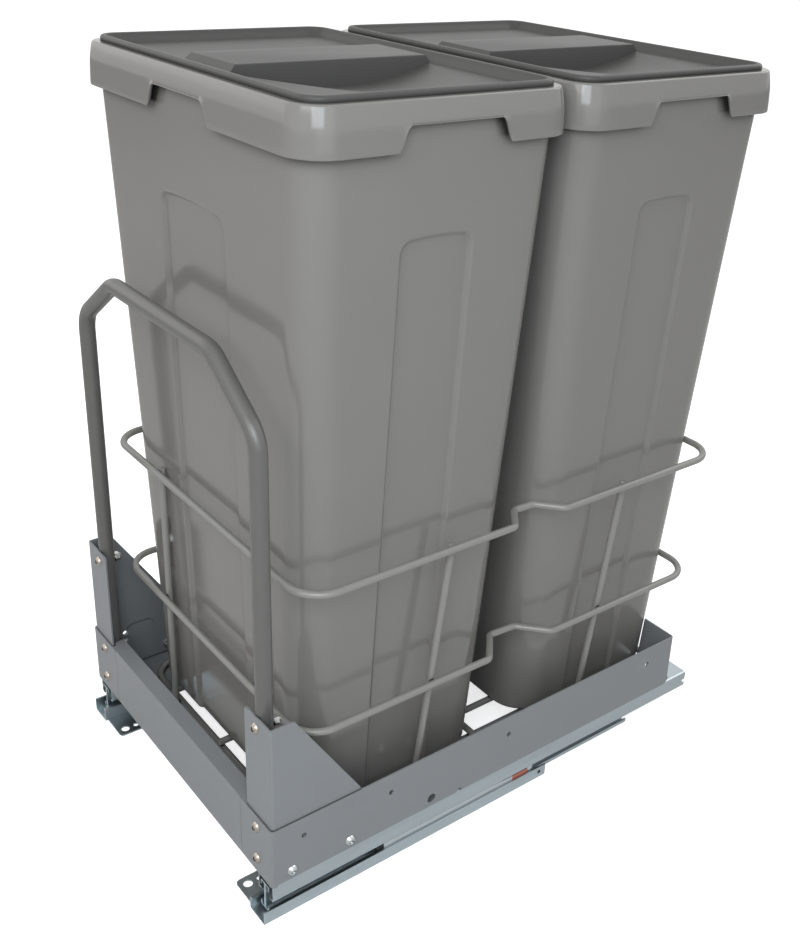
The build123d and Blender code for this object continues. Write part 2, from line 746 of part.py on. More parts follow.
def make_basket():
    """Three loops, the wires that the bins stand on, and the uprights."""
    pieces["basket_upper_loop"] = waisted_loop(upper_loop_half, upper_loop_rear, upper_loop_z,
                                               upper_waist)
    pieces["basket_lower_loop"] = waisted_loop(lower_loop_half, lower_loop_rear, lower_loop_z,
                                               lower_waist)
    pieces["basket_floor_loop"] = floor_loop()
    long_wires = []
    for x in long_wire_x:
        start = (x, basket_floor_front - wire / 2, long_wire_z)
        end = (x, basket_floor_rear + wire / 2, long_wire_z)
        long_wires.append(straight_wire(start, end))
    pieces["basket_long_wires"] = Compound(long_wires)
    cross_half = basket_floor_half - wire / 2 + weld_depth
    cross_wires = []
    for y in cross_wire_y:
        cross_wires.append(straight_wire((-cross_half, y, floor_wire_z), (cross_half, y, floor_wire_z)))
    pieces["basket_cross_wires"] = Compound(cross_wires)

    low = floor_wire_z - wire / 2 + weld_depth
    high = upper_loop_z + wire / 4
    below = low - lower_loop_z
    above = high - lower_loop_z
    front_y = loop_front + weld_step
    rear_y = lower_loop_rear + weld_step
    front = []
    rear = []
    for x in (-upright_x, upright_x):
        front.append(straight_wire((x, front_y, low), (x, front_y, high)))
        foot = (x, rear_y + rear_lean * below, low)
        head = (x, rear_y + rear_lean * above, high)
        rear.append(straight_wire(foot, head))
    pieces["basket_front_uprights"] = Compound(front)
    pieces["basket_rear_uprights"] = Compound(rear)
    side_x = lower_loop_half - weld_step
    uprights = []
    for y in side_upright_y:
        foot = (side_x + side_lean * below, y - side_upright_lean, low)
        head = (side_x + side_lean * above, y, high)
        uprights.append(straight_wire(foot, head))
    add_pair("basket_side_uprights", Compound(uprights))


# ---------------------------------------------------------------- bins

def bin_section(z, inset):
    """Rounded rectangle of the bin's body at one height, drawn in by a wall."""
    part_way = (z - bin_foot_z) / (bin_top - bin_foot_z)
    half_width = bin_foot_half_width + part_way * (bin_mouth_half_width - bin_foot_half_width)
    half_depth = bin_foot_half_depth + part_way * (bin_mouth_half_depth - bin_foot_half_depth)
    corner = bin_foot_corner + part_way * (bin_mouth_corner - bin_foot_corner)
    shift = bin_foot_shift * (1 - part_way)
    outline = RectangleRounded(2 * (half_width - inset), 2 * (half_depth - inset), corner - inset)
    return Pos(0, shift, z) * outline


def bin_body(inset, low, high):
    """Tapered body between two heights."""
    return loft([bin_section(low, inset), bin_section(high, inset)])


def side_panels(inset):
    """Cutters for the shallow panels of the four faces, which run down to the foot."""
    lean_x = (bin_mouth_half_width - bin_foot_half_width) / (bin_top - bin_foot_z)
    lean_front = (bin_mouth_half_depth - bin_foot_half_depth - bin_foot_shift) / (bin_top - bin_foot_z)
    lean_rear = (bin_mouth_half_depth - bin_foot_half_depth + bin_foot_shift) / (bin_top - bin_foot_z)
    low_reach = 2 * bin_wall
    height = panel_top - bin_foot_z + low_reach
    panel_z = bin_foot_z - low_reach + height / 2
    above_foot = panel_z - bin_foot_z
    wall_x = bin_foot_half_width + lean_x * above_foot
    faces = []
    for side in (-1, 1):
        normal = (side, 0, -lean_x)
        faces.append((side * wall_x, bin_foot_shift / 2, normal, (0, 1, 0), side_panel_width))
    front_y = bin_foot_shift - bin_foot_half_depth - lean_front * above_foot
    rear_y = bin_foot_shift + bin_foot_half_depth + lean_rear * above_foot
    faces.append((0, front_y, (0, -1, -lean_front), (1, 0, 0), end_panel_width))
    faces.append((0, rear_y, (0, 1, -lean_rear), (1, 0, 0), end_panel_width))
    cutters = Part()
    for x, y, normal, along, width in faces:
        wall_plane = Plane(origin=(x, y, panel_z), x_dir=along, z_dir=normal)
        deep = wall_plane.offset(-panel_depth - inset)
        proud = wall_plane.offset(panel_depth - inset)
        grow = 2 * panel_slope
        floor_face = deep * Rectangle(width - grow + 2 * inset, height - grow + 2 * inset)
        mouth_face = proud * Rectangle(width + grow + 2 * inset, height + grow + 2 * inset)
        cutters += loft([floor_face, mouth_face])
    return cutters


def skirt_notches():
    """Cutters for the notch in the middle of each side of the skirt."""
    low = bin_top - skirt_height
    high = low + notch_height
    cutters = Part()
    for widths, shift, half, cut in ((side_notch_widths, side_notch_shift, skirt_half_width, "side"),
                                     (end_notch_widths, 0.0, skirt_half_depth, "end")):
        points = (
            (shift - widths[0] / 2, low - cut_over),
            (shift - widths[0] / 2, low),
            (shift - widths[1] / 2, high),
            (shift + widths[1] / 2, high),
            (shift + widths[0] / 2, low),
            (shift + widths[0] / 2, low - cut_over),
        )
        reach = half + cut_over
        make = side_profile if cut == "side" else end_profile
        bar = make(points, -reach, reach)
        upper = bar.edges().filter_by(Axis.X if cut == "side" else Axis.Y).group_by(Axis.Z)[-1]
        cutters += fillet(upper, notch_corner)
    return cutters


def skirt_section(z, inset):
    """Rounded rectangle of the skirt at one height, drawn in by a wall."""
    lean = inset + crown_lean * max(0.0, z - (bin_top - crown_height)) / crown_height
    return Pos(0, 0, z) * RectangleRounded(2 * (skirt_half_width - lean), 2 * (skirt_half_depth - lean),
                                           skirt_corner - lean)


def skirt_block(inset, high):
    """Solid skirt up to one height: upright at first, then leaning in."""
    low = bin_top - skirt_height
    crown_z = bin_top - crown_height
    upright = extrude(skirt_section(low, inset), amount=crown_z - low)
    return upright + loft([skirt_section(crown_z, inset), skirt_section(high, inset)])


def waste_bin():
    """Tapered bin with a turned-down skirt round its mouth, drawn round x = y = 0."""
    skirt = skirt_block(0, bin_top)
    skirt = fillet(skirt.faces().sort_by(Axis.Z)[-1].edges(), skirt_edge)
    rim = skirt - skirt_block(bin_wall, bin_top - 2 * bin_wall) - skirt_notches()
    outside = bin_body(0, bin_foot_z, bin_top) - side_panels(0)
    inside = bin_body(bin_wall, bin_foot_z + bin_floor, bin_top - bin_wall) - side_panels(bin_wall)
    opening = extrude(Pos(0, 0, bin_top - 2 * bin_wall) * RectangleRounded(
        2 * seat_half_width, 2 * seat_half_depth, seat_corner), amount=2 * bin_wall + cut_over)
    return rim + outside - inside - opening


# ---------------------------------------------------------------- lids

def scoop(radius_grow, x0, depth_limit):
    """Part of a tilted drum that dishes the tray beside the plateau."""
    radius = (scoop_half_chord ** 2 + scoop_depth ** 2) / (2 * scoop_depth)
    floor_z = bin_top - lid_floor_drop
    slope = scoop_depth / scoop_reach
    middle_y = (plateau_front + plateau_rear) / 2
    axis = Plane(origin=(plateau_right, middle_y, floor_z - scoop_depth + radius),
                 x_dir=(0, 1, 0), z_dir=(1, 0, slope))
    drum = extrude(axis * Circle(radius + radius_grow), amount=2 * scoop_reach, both=True)
    side = lid_half_width - lid_lip_width - lid_wall_slope
    window = block(x0, side, middle_y - scoop_half_chord - radius_grow,
                   middle_y + scoop_half_chord + radius_grow, floor_z - 2 * scoop_depth, depth_limit)
    return drum & window


def lid():
    """Drop-in lid: a tray with a raised rim, a plateau and a finger scoop beside it."""
    rim_z = bin_top
    top_z = rim_z + lid_lip_height
    floor_z = rim_z - lid_floor_drop
    under_z = floor_z - lid_wall
    flange = extrude(Pos(0, 0, rim_z) * RectangleRounded(2 * lid_half_width, 2 * lid_half_depth,
                                                         lid_corner), amount=lid_lip_height)
    flange = fillet(flange.faces().sort_by(Axis.Z)[-1].edges(), lid_lip_edge)
    plug_half_width = seat_half_width - lid_plug_gap
    plug_half_depth = seat_half_depth - lid_plug_gap
    plug_corner = seat_corner - lid_plug_gap
    plug = extrude(Pos(0, 0, under_z) * RectangleRounded(2 * plug_half_width, 2 * plug_half_depth,
                                                         plug_corner), amount=rim_z - under_z)
    top_half_width = lid_half_width - lid_lip_width
    top_half_depth = lid_half_depth - lid_lip_width
    top_corner = lid_corner - lid_lip_width
    tray = loft([
        Pos(0, 0, floor_z) * RectangleRounded(2 * (top_half_width - lid_wall_slope),
                                              2 * (top_half_depth - lid_wall_slope),
                                              top_corner - lid_wall_slope / 2),
        Pos(0, 0, top_z) * RectangleRounded(2 * top_half_width, 2 * top_half_depth, top_corner),
    ])
    plateau_points = (
        (plateau_front - plateau_draft, floor_z),
        (plateau_front, floor_z + plateau_height),
        (plateau_rear, floor_z + plateau_height),
        (plateau_rear + plateau_draft, floor_z),
    )
    plateau = side_profile(plateau_points, plateau_left - plateau_draft, plateau_right)
    left_cut = (
        (plateau_left - plateau_draft - cut_over, floor_z),
        (plateau_left - plateau_draft, floor_z),
        (plateau_left, floor_z + plateau_height),
        (plateau_left, floor_z + plateau_height + cut_over),
        (plateau_left - plateau_draft - cut_over, floor_z + plateau_height + cut_over),
    )
    plateau -= end_profile(left_cut, plateau_front - 2 * plateau_draft,
                           plateau_rear + 2 * plateau_draft)
    body = flange + plug
    body += scoop(lid_wall, plateau_right - lid_wall, floor_z)
    body -= tray
    body += plateau
    body -= scoop(0, plateau_right, top_z)
    hollow = block(plateau_left + lid_wall, plateau_right - lid_wall,
                   plateau_front + lid_wall, plateau_rear - lid_wall,
                   floor_z - 2 * scoop_depth, floor_z + plateau_height - lid_wall)
    return body - hollow


def make_bins():
    """Two equal bins with their lids, one behind the other."""
    for name, y in (("front", front_bin_y), ("rear", rear_bin_y)):
        pieces[name + "_bin"] = Pos(0, y, 0) * waste_bin()
        pieces[name + "_lid"] = Pos(0, y, 0) * lid()


# ---------------------------------------------------------------- the whole unit

make_slides()
make_frame()
make_basket()
make_bins()

os.makedirs("parts", exist_ok=True)
for name, piece in pieces.items():
    placed = Pos(0, -front_floor_hole_y, 0) * piece
    export_step(placed, "parts/" + name + ".step")
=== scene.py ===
"""Looks of the pull-out waste unit: two bins in a wire basket on a folded steel frame.

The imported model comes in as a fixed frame. Bins, lids, handle and basket wires are built here
in full detail in place of their plain solids; the other pieces keep their solids and get their
finish here. Sizes are millimetres, drawn as in the part: x to the right, y back from the front
face of the frame, z up from the cabinet floor.
"""

from __future__ import annotations

import json
import logging
import math
from dataclasses import dataclass, field
from enum import Enum
from typing import Any, Iterable, Sequence

import bmesh
import bpy
from mathutils import Matrix, Vector

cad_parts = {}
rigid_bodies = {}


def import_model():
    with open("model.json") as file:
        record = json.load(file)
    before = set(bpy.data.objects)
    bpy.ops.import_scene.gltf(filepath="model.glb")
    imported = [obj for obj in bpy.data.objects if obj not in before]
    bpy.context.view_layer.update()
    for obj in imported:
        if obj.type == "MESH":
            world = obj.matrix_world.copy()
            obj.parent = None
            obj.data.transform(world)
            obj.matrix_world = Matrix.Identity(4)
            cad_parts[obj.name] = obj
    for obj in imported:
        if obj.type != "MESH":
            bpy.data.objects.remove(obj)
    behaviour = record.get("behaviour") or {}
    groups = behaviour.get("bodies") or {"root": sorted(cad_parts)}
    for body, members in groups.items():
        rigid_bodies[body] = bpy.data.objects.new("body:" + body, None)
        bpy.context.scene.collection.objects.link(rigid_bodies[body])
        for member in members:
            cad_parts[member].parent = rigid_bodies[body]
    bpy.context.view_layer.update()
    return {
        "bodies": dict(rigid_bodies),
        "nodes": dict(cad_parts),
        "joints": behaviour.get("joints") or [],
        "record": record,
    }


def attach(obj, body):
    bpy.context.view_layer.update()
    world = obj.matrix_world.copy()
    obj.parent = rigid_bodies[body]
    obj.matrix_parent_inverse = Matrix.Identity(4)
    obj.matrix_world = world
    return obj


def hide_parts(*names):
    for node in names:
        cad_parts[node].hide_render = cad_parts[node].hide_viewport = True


log = logging.getLogger("waste_unit")

Point = tuple[float, float, float]
Walk = tuple[float, float, float | None, float | None]  # x, y, place along a side, along an end
Waist = tuple[tuple[float, float], ...]
Tree = bpy.types.NodeTree
Socket = bpy.types.NodeSocket
MM = 0.001
FRONT_HOLE_Y = 4.0  # the row's origin lies this far behind the front face of the frame


class Body(str, Enum):
    """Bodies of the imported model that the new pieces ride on."""

    FRAME = "pull_out_frame"
    FRONT_BIN = "front_bin"
    REAR_BIN = "rear_bin"
    FRONT_LID = "front_lid"
    REAR_LID = "rear_lid"


# ------------------------------------------------------------------ small helpers


def hex_to_linear(colour: str) -> tuple[float, float, float, float]:
    """Turn an sRGB hex colour into linear red, green, blue and alpha.

    Args:
        colour: Six hex digits with a leading hash.

    Returns:
        The linear colour with an alpha of 1.
    """
    parts = [int(colour[i : i + 2], 16) / 255 for i in (1, 3, 5)]
    linear = [c / 12.92 if c <= 0.04045 else ((c + 0.055) / 1.055) ** 2.4 for c in parts]
    return (linear[0], linear[1], linear[2], 1.0)


def per_metre(size_mm: float) -> float:
    """Return the texture scale that gives features of this size, in mm."""
    return 1.0 / (size_mm * MM)


def smoothstep(value: float) -> float:
    """Ease from 0 to 1, level at both ends."""
    t = min(max(value, 0.0), 1.0)
    return t * t * (3 - 2 * t)


def add_node(
    tree: Tree,
    kind: str,
    settings: dict[Any, Any] | None = None,
    links: dict[Any, Socket] | None = None,
) -> bpy.types.Node:
    """Add a node with its settings and its incoming links.

    Args:
        tree: Node tree that the node goes into.
        kind: Blender's name for the type of node.
        settings: Input sockets by name or number, or attributes of the node, with their values.
        links: Input sockets by name or number, with the sockets that feed them.

    Returns:
        The new node.
    """
    node = tree.nodes.new(kind)
    for key, value in (settings or {}).items():
        if isinstance(key, int) or key in node.inputs:
            node.inputs[key].default_value = value
        else:
            setattr(node, key, value)
    for key, source in (links or {}).items():
        tree.links.new(source, node.inputs[key])
    return node


def add_to_scene(thing: bpy.types.Object) -> bpy.types.Object:
    """Put an object into the scene and return it."""
    bpy.context.scene.collection.objects.link(thing)
    return thing


def new_material(name: str) -> tuple[bpy.types.Material, Tree]:
    """Return a new material and its node tree, which is still empty."""
    material = bpy.data.materials.new(name)
    material.use_nodes = True
    material.node_tree.nodes.clear()
    return material, material.node_tree


def add_noise(tree: Tree, at: Socket, scale: float, detail: float, roughness: float = 0.5) -> Socket:
    """Add a cloudy texture that is read at a place, and return its level, 0 to 1."""
    settings = {"Scale": scale, "Detail": detail, "Roughness": roughness}
    return add_node(tree, "ShaderNodeTexNoise", settings, {"Vector": at}).outputs["Fac"]


def add_tone(tree: Tree, base: Sequence[float], darkest: float, lightest: float, level: Socket) -> Socket:
    """Let a colour wander between two shares of itself with a texture's level."""
    dark, light = (tuple(min(1.0, c * share) for c in base[:3]) + (1.0,) for share in (darkest, lightest))
    mix = add_node(tree, "ShaderNodeMix", {"data_type": "RGBA", 6: dark, 7: light}, {0: level})
    return mix.outputs[2]


def add_gloss(tree: Tree, roughness: float, spread: float, level: Socket) -> Socket:
    """Let the roughness wander by a spread to both sides with a texture's level."""
    settings = {"To Min": roughness - spread, "To Max": roughness + spread}
    return add_node(tree, "ShaderNodeMapRange", settings, {"Value": level}).outputs["Result"]


def add_bump(tree: Tree, height: float, level: Socket, under: Socket | None = None) -> Socket:
    """Raise the surface by a texture's level.

    Args:
        tree: Node tree of the finish.
        height: Height of the relief, in millimetres.
        level: The texture's level.
        under: Relief that this one lies on, if there is one.

    Returns:
        Socket with the direction of the raised surface.
    """
    links = {"Height": level} if under is None else {"Height": level, "Normal": under}
    settings = {"Strength": 1.0, "Distance": height * MM}
    return add_node(tree, "ShaderNodeBump", settings, links).outputs["Normal"]


def add_surface(
    tree: Tree, settings: dict[Any, Any], colour: Socket, roughness: Socket, normal: Socket
) -> None:
    """Join colour, roughness and relief into the shader of a finish."""
    links = {"Base Color": colour, "Roughness": roughness, "Normal": normal}
    shader = add_node(tree, "ShaderNodeBsdfPrincipled", settings, links)
    add_node(tree, "ShaderNodeOutputMaterial", {}, {"Surface": shader.outputs["BSDF"]})


def paint_shade_in_crevices(tree: Tree, colour: Socket, base: Sequence[float], depth: float, own: bool) -> Socket:
    """Paint shade into a colour in corners, seams and holes, darker where other faces lie near.

    Args:
        tree: Node tree of the finish.
        colour: Socket with the finish's colour.
        base: The finish's plain colour, linear.
        depth: How near another face has to be, in millimetres.
        own: Whether only the piece's own faces count.

    Returns:
        Socket with the colour with its painted shade.
    """
    darkest = 0.1
    # Painted shade: an ambient occlusion node darkens the colour where faces lie near each other.
    near = {"samples": 8, "only_local": own, "Distance": depth * MM}
    shade = add_node(tree, "ShaderNodeAmbientOcclusion", near, {"Color": colour})
    reach = {"From Min": 0.5, "From Max": 0.9, "To Min": darkest, "To Max": 1.0}
    openness = add_node(tree, "ShaderNodeMapRange", reach, {"Value": shade.outputs["AO"]})
    painted_shade = add_node(
        tree,
        "ShaderNodeMix",
        {"data_type": "RGBA", 6: tuple(c * darkest for c in base[:3]) + (1.0,)},
        {0: openness.outputs["Result"], 7: colour},
    )
    return painted_shade.outputs[2]


def round_edge(steps: int) -> list[tuple[float, float]]:
    """Walk over a rounded edge of radius 1, from its face to its top.

    Args:
        steps: Number of stretches in the quarter circle.

    Returns:
        For each point how far it lies under the top and inside the face.
    """
    turns = [math.pi / 2 * k / steps for k in range(steps + 1)]
    return [(1 - math.sin(a), 1 - math.cos(a)) for a in turns]


class MeshDraft:
    """Vertices and faces in millimetres, gathered before they become one mesh."""

    def __init__(self) -> None:
        """Start with nothing drawn."""
        self.points: list[Point] = []
        self.faces: list[tuple[int, ...]] = []

    def add(self, points: Iterable[Sequence[float]]) -> list[int]:
        """Add a row of points.

        Args:
            points: The points, in mm.

        Returns:
            Their numbers in the draft.
        """
        first = len(self.points)
        self.points.extend(tuple(p) for p in points)
        return list(range(first, len(self.points)))

    def bridge(self, low: Sequence[int], high: Sequence[int], closed: bool = True) -> None:
        """Join two rows of equal length by a strip of quads.

        Args:
            low: The first row.
            high: The second row, which lies to the left of the first seen from outside.
            closed: Whether the rows are rings.
        """
        count = len(low)
        for i in range(count if closed else count - 1):
            j = (i + 1) % count
            self.faces.append((low[i], low[j], high[j], high[i]))

    def loft(self, rows: Sequence[Sequence[int]], closed: bool = True) -> None:
        """Join each row to the next."""
        for low, high in zip(rows, rows[1:]):
            self.bridge(low, high, closed)

    def cap(self, ring: Sequence[int], flip: bool = False) -> None:
        """Close a ring with one flat face."""
        self.faces.append(tuple(reversed(ring)) if flip else tuple(ring))

    def build(self, name: str, sharp_angle: float = 40.0) -> bpy.types.Object:
        """Make the mesh object in the row frame, smooth but for edges over an angle.

        Args:
            name: Name of the piece.
            sharp_angle: Edges that fold by more than this many degrees stay sharp.

        Returns:
            The object, linked to the scene.
        """
        mesh = bpy.data.meshes.new(name)
        placed = [(x * MM, (y - FRONT_HOLE_Y) * MM, z * MM) for x, y, z in self.points]
        mesh.from_pydata(placed, [], self.faces)
        least = 1e-6  # metres; points nearer than this are one point
        work = bmesh.new()
        work.from_mesh(mesh)
        bmesh.ops.remove_doubles(work, verts=work.verts, dist=least)
        bmesh.ops.dissolve_degenerate(work, edges=work.edges, dist=least)
        bmesh.ops.recalc_face_normals(work, faces=work.faces)
        work.to_mesh(mesh)
        work.free()
        mesh.shade_smooth()
        mesh.set_sharp_from_angle(angle=math.radians(sharp_angle))
        return add_to_scene(bpy.data.objects.new(name, mesh))


def place(
    piece: bpy.types.Object,
    body: Body,
    nodes: Sequence[str],
    material: bpy.types.Material,
) -> None:
    """Dress a finished piece and tie it to its body and to the solids it stands for."""
    piece.data.materials.clear()
    piece.data.materials.append(material)
    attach(piece, body.value)
    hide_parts(*nodes)
    log.info("piece %s: %d faces, rides on %s", piece.name, len(piece.data.polygons), body.value)


def bend_line(
    corners: Sequence[Sequence[float]], radii: Sequence[float], closed: bool, step: float = 6.0
) -> list[Vector]:
    """Round the corners of a line with arcs, as a wire or tube is bent.

    Args:
        corners: The line's corners, in mm.
        radii: Bend radius at each corner; the two ends of an open line have none.
        closed: Whether the line is a ring.
        step: Degrees of bend between two points of an arc.

    Returns:
        Points along the bent line.
    """
    spots = [Vector(c) for c in corners]
    count = len(spots)
    line: list[Vector] = []
    for i, corner in enumerate(spots):
        if not closed and i in (0, count - 1):
            line.append(corner)
            continue
        into = (corner - spots[i - 1]).normalized()
        out = (spots[(i + 1) % count] - corner).normalized()
        turn = into.angle(out)
        reach = radii[i] * math.tan(turn / 2)
        centre = corner - into * reach + (out - into * into.dot(out)).normalized() * radii[i]
        start = corner - into * reach - centre
        axis = into.cross(out).normalized()
        pieces = max(2, math.ceil(math.degrees(turn) / step))
        for k in range(pieces + 1):
            line.append(centre + Matrix.Rotation(turn * k / pieces, 3, axis) @ start)
    return line


def direction_at(line: Sequence[Vector], i: int, closed: bool = False) -> Vector:
    """Return the direction of a line at one of its points."""
    spot = line[i]
    ahead = line[(i + 1) % len(line)] if closed or i < len(line) - 1 else spot
    behind = line[i - 1] if closed or i > 0 else spot
    along = (ahead - spot).normalized() + (spot - behind).normalized()
    return along.normalized()


def circle(centre: Vector, side: Vector, top: Vector, radius: float, sides: int) -> list[Vector]:
    """Return points on a circle in the plane of two directions."""
    turns = [math.tau * k / sides for k in range(sides)]
    return [centre + (side * math.cos(a) + top * math.sin(a)) * radius for a in turns]


def sweep_round(
    draft: MeshDraft, line: Sequence[Vector], radius: float, up: Vector, closed: bool = False
) -> None:
    """Draw a round bar along a line that lies in one plane.

    Args:
        draft: Draft that the bar is added to.
        line: Points along its middle, in mm.
        radius: Radius of the bar.
        up: Direction square to the line's plane, or to a straight line.
        closed: Whether the bar is a ring.
    """
    sides = 20
    end_round = 0.6  # rounding of the cut ends of an open bar
    middle_round = end_round * 0.3
    rows = []
    for i, spot in enumerate(line):
        along = direction_at(line, i, closed)
        side = along.cross(up).normalized()
        top = side.cross(along).normalized()
        rings = [(0.0, radius)]
        if not closed and i in (0, len(line) - 1):
            rings = [(end_round, radius), (middle_round, radius - middle_round), (0.0, radius - end_round)]
            if i == 0:
                rings.reverse()
        inward = 1.0 if i == 0 else -1.0
        for back, r in rings:
            rows.append(draft.add(circle(spot + along * back * inward, side, top, r, sides)))
    draft.loft(rows)
    if closed:
        draft.bridge(rows[-1], rows[0])
    else:
        draft.cap(rows[0], flip=True)
        draft.cap(rows[-1])


# ------------------------------------------------------------------ finishes


@dataclass(frozen=True)
class PowderCoat:
    """Polyester powder coat, sprayed on steel and baked.

    The baked film is smooth and half glossy, with a faint orange peel that breaks up the edges
    of reflections.
    """

    name: str = "powder_coat_grey"
    colour: str = "#808386"
    roughness: float = 0.34
    peel_size: float = 2.2  # mm; the real peel of about 1 mm is too fine to show
    peel_height: float = 0.02  # mm
    painted_shade_width: float = 2.0  # mm; width of the painted shade in seams and holes
    cloud_size: float = 45.0  # mm; slow changes of the film's tone

    def build(self) -> bpy.types.Material:
        """Return the material."""
        material, tree = new_material(self.name)
        place_at = add_node(tree, "ShaderNodeTexCoord").outputs["Object"]
        clouds = add_noise(tree, place_at, per_metre(self.cloud_size), detail=3.0)
        base = hex_to_linear(self.colour)
        tone = add_tone(tree, base, darkest=0.97, lightest=1.03, level=clouds)
        # Painted shade in seams and holes, where other pieces lie near, from an ambient occlusion node.
        colour = paint_shade_in_crevices(tree, tone, base, self.painted_shade_width, own=False)
        gloss = add_gloss(tree, self.roughness, spread=0.03, level=clouds)
        peel = add_noise(tree, place_at, per_metre(self.peel_size), detail=1.0, roughness=0.4)
        normal = add_bump(tree, self.peel_height, peel)
        add_surface(tree, {"IOR": 1.5, "Metallic": 0.0}, colour, gloss, normal)
        return material


@dataclass(frozen=True)
class MouldedPlastic:
    """Thermoplastic, injection moulded.

    The tool's polish sets the gloss: the bins' smooth tool leaves soft mirror images, the lids'
    fine spark-eroded tool a dull grain.
    """

    name: str
    colour: str
    roughness: float
    grain_size: float  # mm
    grain_height: float  # mm
    wave_size: float = 60.0  # mm; slow sink marks of a large thin wall
    wave_height: float = 0.0  # mm
    ior: float = 1.49
    shine: float = 0.5
    painted_shade_width: float = 0.0  # mm; width of the painted shade in seams and corners, 0 to leave them as they are

    def build(self) -> bpy.types.Material:
        """Return the material."""
        material, tree = new_material(self.name)
        place_at = add_node(tree, "ShaderNodeTexCoord").outputs["Object"]
        clouds = add_noise(tree, place_at, per_metre(self.wave_size), detail=2.0)
        base = hex_to_linear(self.colour)
        colour = add_tone(tree, base, darkest=0.975, lightest=1.025, level=clouds)
        gloss = add_gloss(tree, self.roughness, spread=0.025, level=clouds)
        grain = add_noise(tree, place_at, per_metre(self.grain_size), detail=2.0)
        normal = add_bump(tree, self.grain_height, grain)
        # Painted shade in the piece's own seams and corners, from an ambient occlusion node.
        if self.painted_shade_width:
            colour = paint_shade_in_crevices(tree, colour, base, self.painted_shade_width, own=True)
        if self.wave_height:
            normal = add_bump(tree, self.wave_height, clouds, normal)
        settings = {"IOR": self.ior, "Metallic": 0.0, "Specular IOR Level": self.shine}
        add_surface(tree, settings, colour, gloss, normal)
        return material


@dataclass(frozen=True)
class PlatedSteel:
    """Steel with an electroplated zinc layer, or bare and polished.

    Rolling and plating leave a fine grain along the strip and a slightly cloudy shine.
    """

    name: str
    colour: str
    roughness: float
    streak: Point = (6.0, 60.0, 6.0)  # mm; size of the rolling marks along each axis
    streak_height: float = 0.01  # mm

    def build(self) -> bpy.types.Material:
        """Return the material."""
        material, tree = new_material(self.name)
        place_at = add_node(tree, "ShaderNodeTexCoord").outputs["Object"]
        scale = tuple(per_metre(size) for size in self.streak)
        stretched = add_node(tree, "ShaderNodeMapping", {"Scale": scale}, {"Vector": place_at})
        marks = add_noise(tree, stretched.outputs["Vector"], scale=1.0, detail=4.0, roughness=0.6)
        base = hex_to_linear(self.colour)
        tone = add_tone(tree, base, darkest=0.88, lightest=1.1, level=marks)
        gloss = add_gloss(tree, self.roughness, spread=0.06, level=marks)
        normal = add_bump(tree, self.streak_height, marks)
        add_surface(tree, {"Metallic": 1.0}, tone, gloss, normal)
        return material


FINISHES: dict[str, PowderCoat | MouldedPlastic | PlatedSteel] = {
    "grey_steel": PowderCoat(),
    "grey_wire": PowderCoat("powder_coat_grey_on_wire", "#858480", 0.22, 1.6, 0.012),
    "grey_tube": PowderCoat("powder_coat_grey_on_tube", "#605F5D", 0.3, 1.6, 0.012),
    "zinc_steel": PlatedSteel("zinc_plated_steel_clear_passivated", "#B6BFC3", 0.32),
    "bright_screws": PlatedSteel("zinc_plated_screw_steel", "#C3C6C6", 0.24, (1.5, 1.5, 1.5), 0.004),
    "yellow_screws": PlatedSteel(
        "yellow_passivated_zinc_screw_steel", "#B4ABA0", 0.3, (1.5, 1.5, 1.5), 0.004
    ),
    "ball_steel": PlatedSteel("polished_bearing_steel", "#C8C8C6", 0.1, (1.0, 1.0, 1.0), 0.0),
    # The slide cages get painted shade up to 1.5 mm from their own near faces.
    "cage_plastic": MouldedPlastic(
        "acetal_natural_moulded", "#BFC5C7", 0.36, 0.8, 0.008, ior=1.48, painted_shade_width=1.5
    ),
    "stop_plastic": MouldedPlastic("acetal_orange_red_moulded", "#B9705F", 0.38, 0.8, 0.008, ior=1.48),
    "black_plastic": MouldedPlastic("acetal_black_moulded", "#1E1F20", 0.4, 0.8, 0.008, ior=1.48),
    # The bins get painted shade up to 14 mm from their own near faces, such as the dark line under the
    # skirt's edge.
    "bin_plastic": MouldedPlastic(
        "polypropylene_grey_smooth_moulded", "#7B7976", 0.13, 1.2, 0.002, 70.0, 0.2, painted_shade_width=14.0
    ),
    "lid_plastic": MouldedPlastic(
        "polypropylene_dark_grey_spark_eroded", "#504F4E", 0.4, 0.7, 0.02, shine=0.22
    ),
}


class Finishes:
    """Every material of the unit, made once and handed out by its slot."""

    edge_width = 0.3  # mm; worn edge of sheared sheet steel
    edge_angle = 50.0  # degrees; flatter folds stay as they are

    def __init__(self) -> None:
        """Build all the materials."""
        self.materials = {slot: finish.build() for slot, finish in FINISHES.items()}

    def of(self, slot: str) -> bpy.types.Material:
        """Return the material of a slot."""
        return self.materials[slot]

    def dress_solids(self, frame: dict[str, Any]) -> None:
        """Give every carried-over solid the material of its slot."""
        for row in frame["record"]["subparts"]:
            node = frame["nodes"][row["node"]]
            for slot in node.material_slots:
                slot.material = self.of(row["material_slot"])
            if row["material_slot"] in ("grey_steel", "zinc_steel"):
                edge = node.modifiers.new("sheared_edge", "BEVEL")
                edge.width = self.edge_width * MM
                edge.segments = 2
                edge.limit_method = "ANGLE"
                edge.angle_limit = math.radians(self.edge_angle)


# ------------------------------------------------------------------ waste bins


@dataclass
class Notch:
    """Notch in the lower edge of the skirt, in the middle of one face."""

    low_half: float
    high_half: float
    shift: float = 0.0
    height: float = 17.5
    blend: float = 8.0

    def rise(self, u: float) -> float:
        """Return how far the edge is raised at a place along the face."""
        slope = self.height / (self.low_half - self.high_half)
        line = (self.low_half - abs(u - self.shift)) * slope
        # The slope is rounded off where it meets the notch's level top, then at the skirt's edge.
        gap = max(self.blend - abs(line - self.height), 0.0) / self.blend
        level = min(line, self.height) - gap * gap * self.blend / 4
        gap = max(self.blend / 2 - abs(level), 0.0) / (self.blend / 2)
        return max(level, 0.0) + gap * gap * self.blend / 8


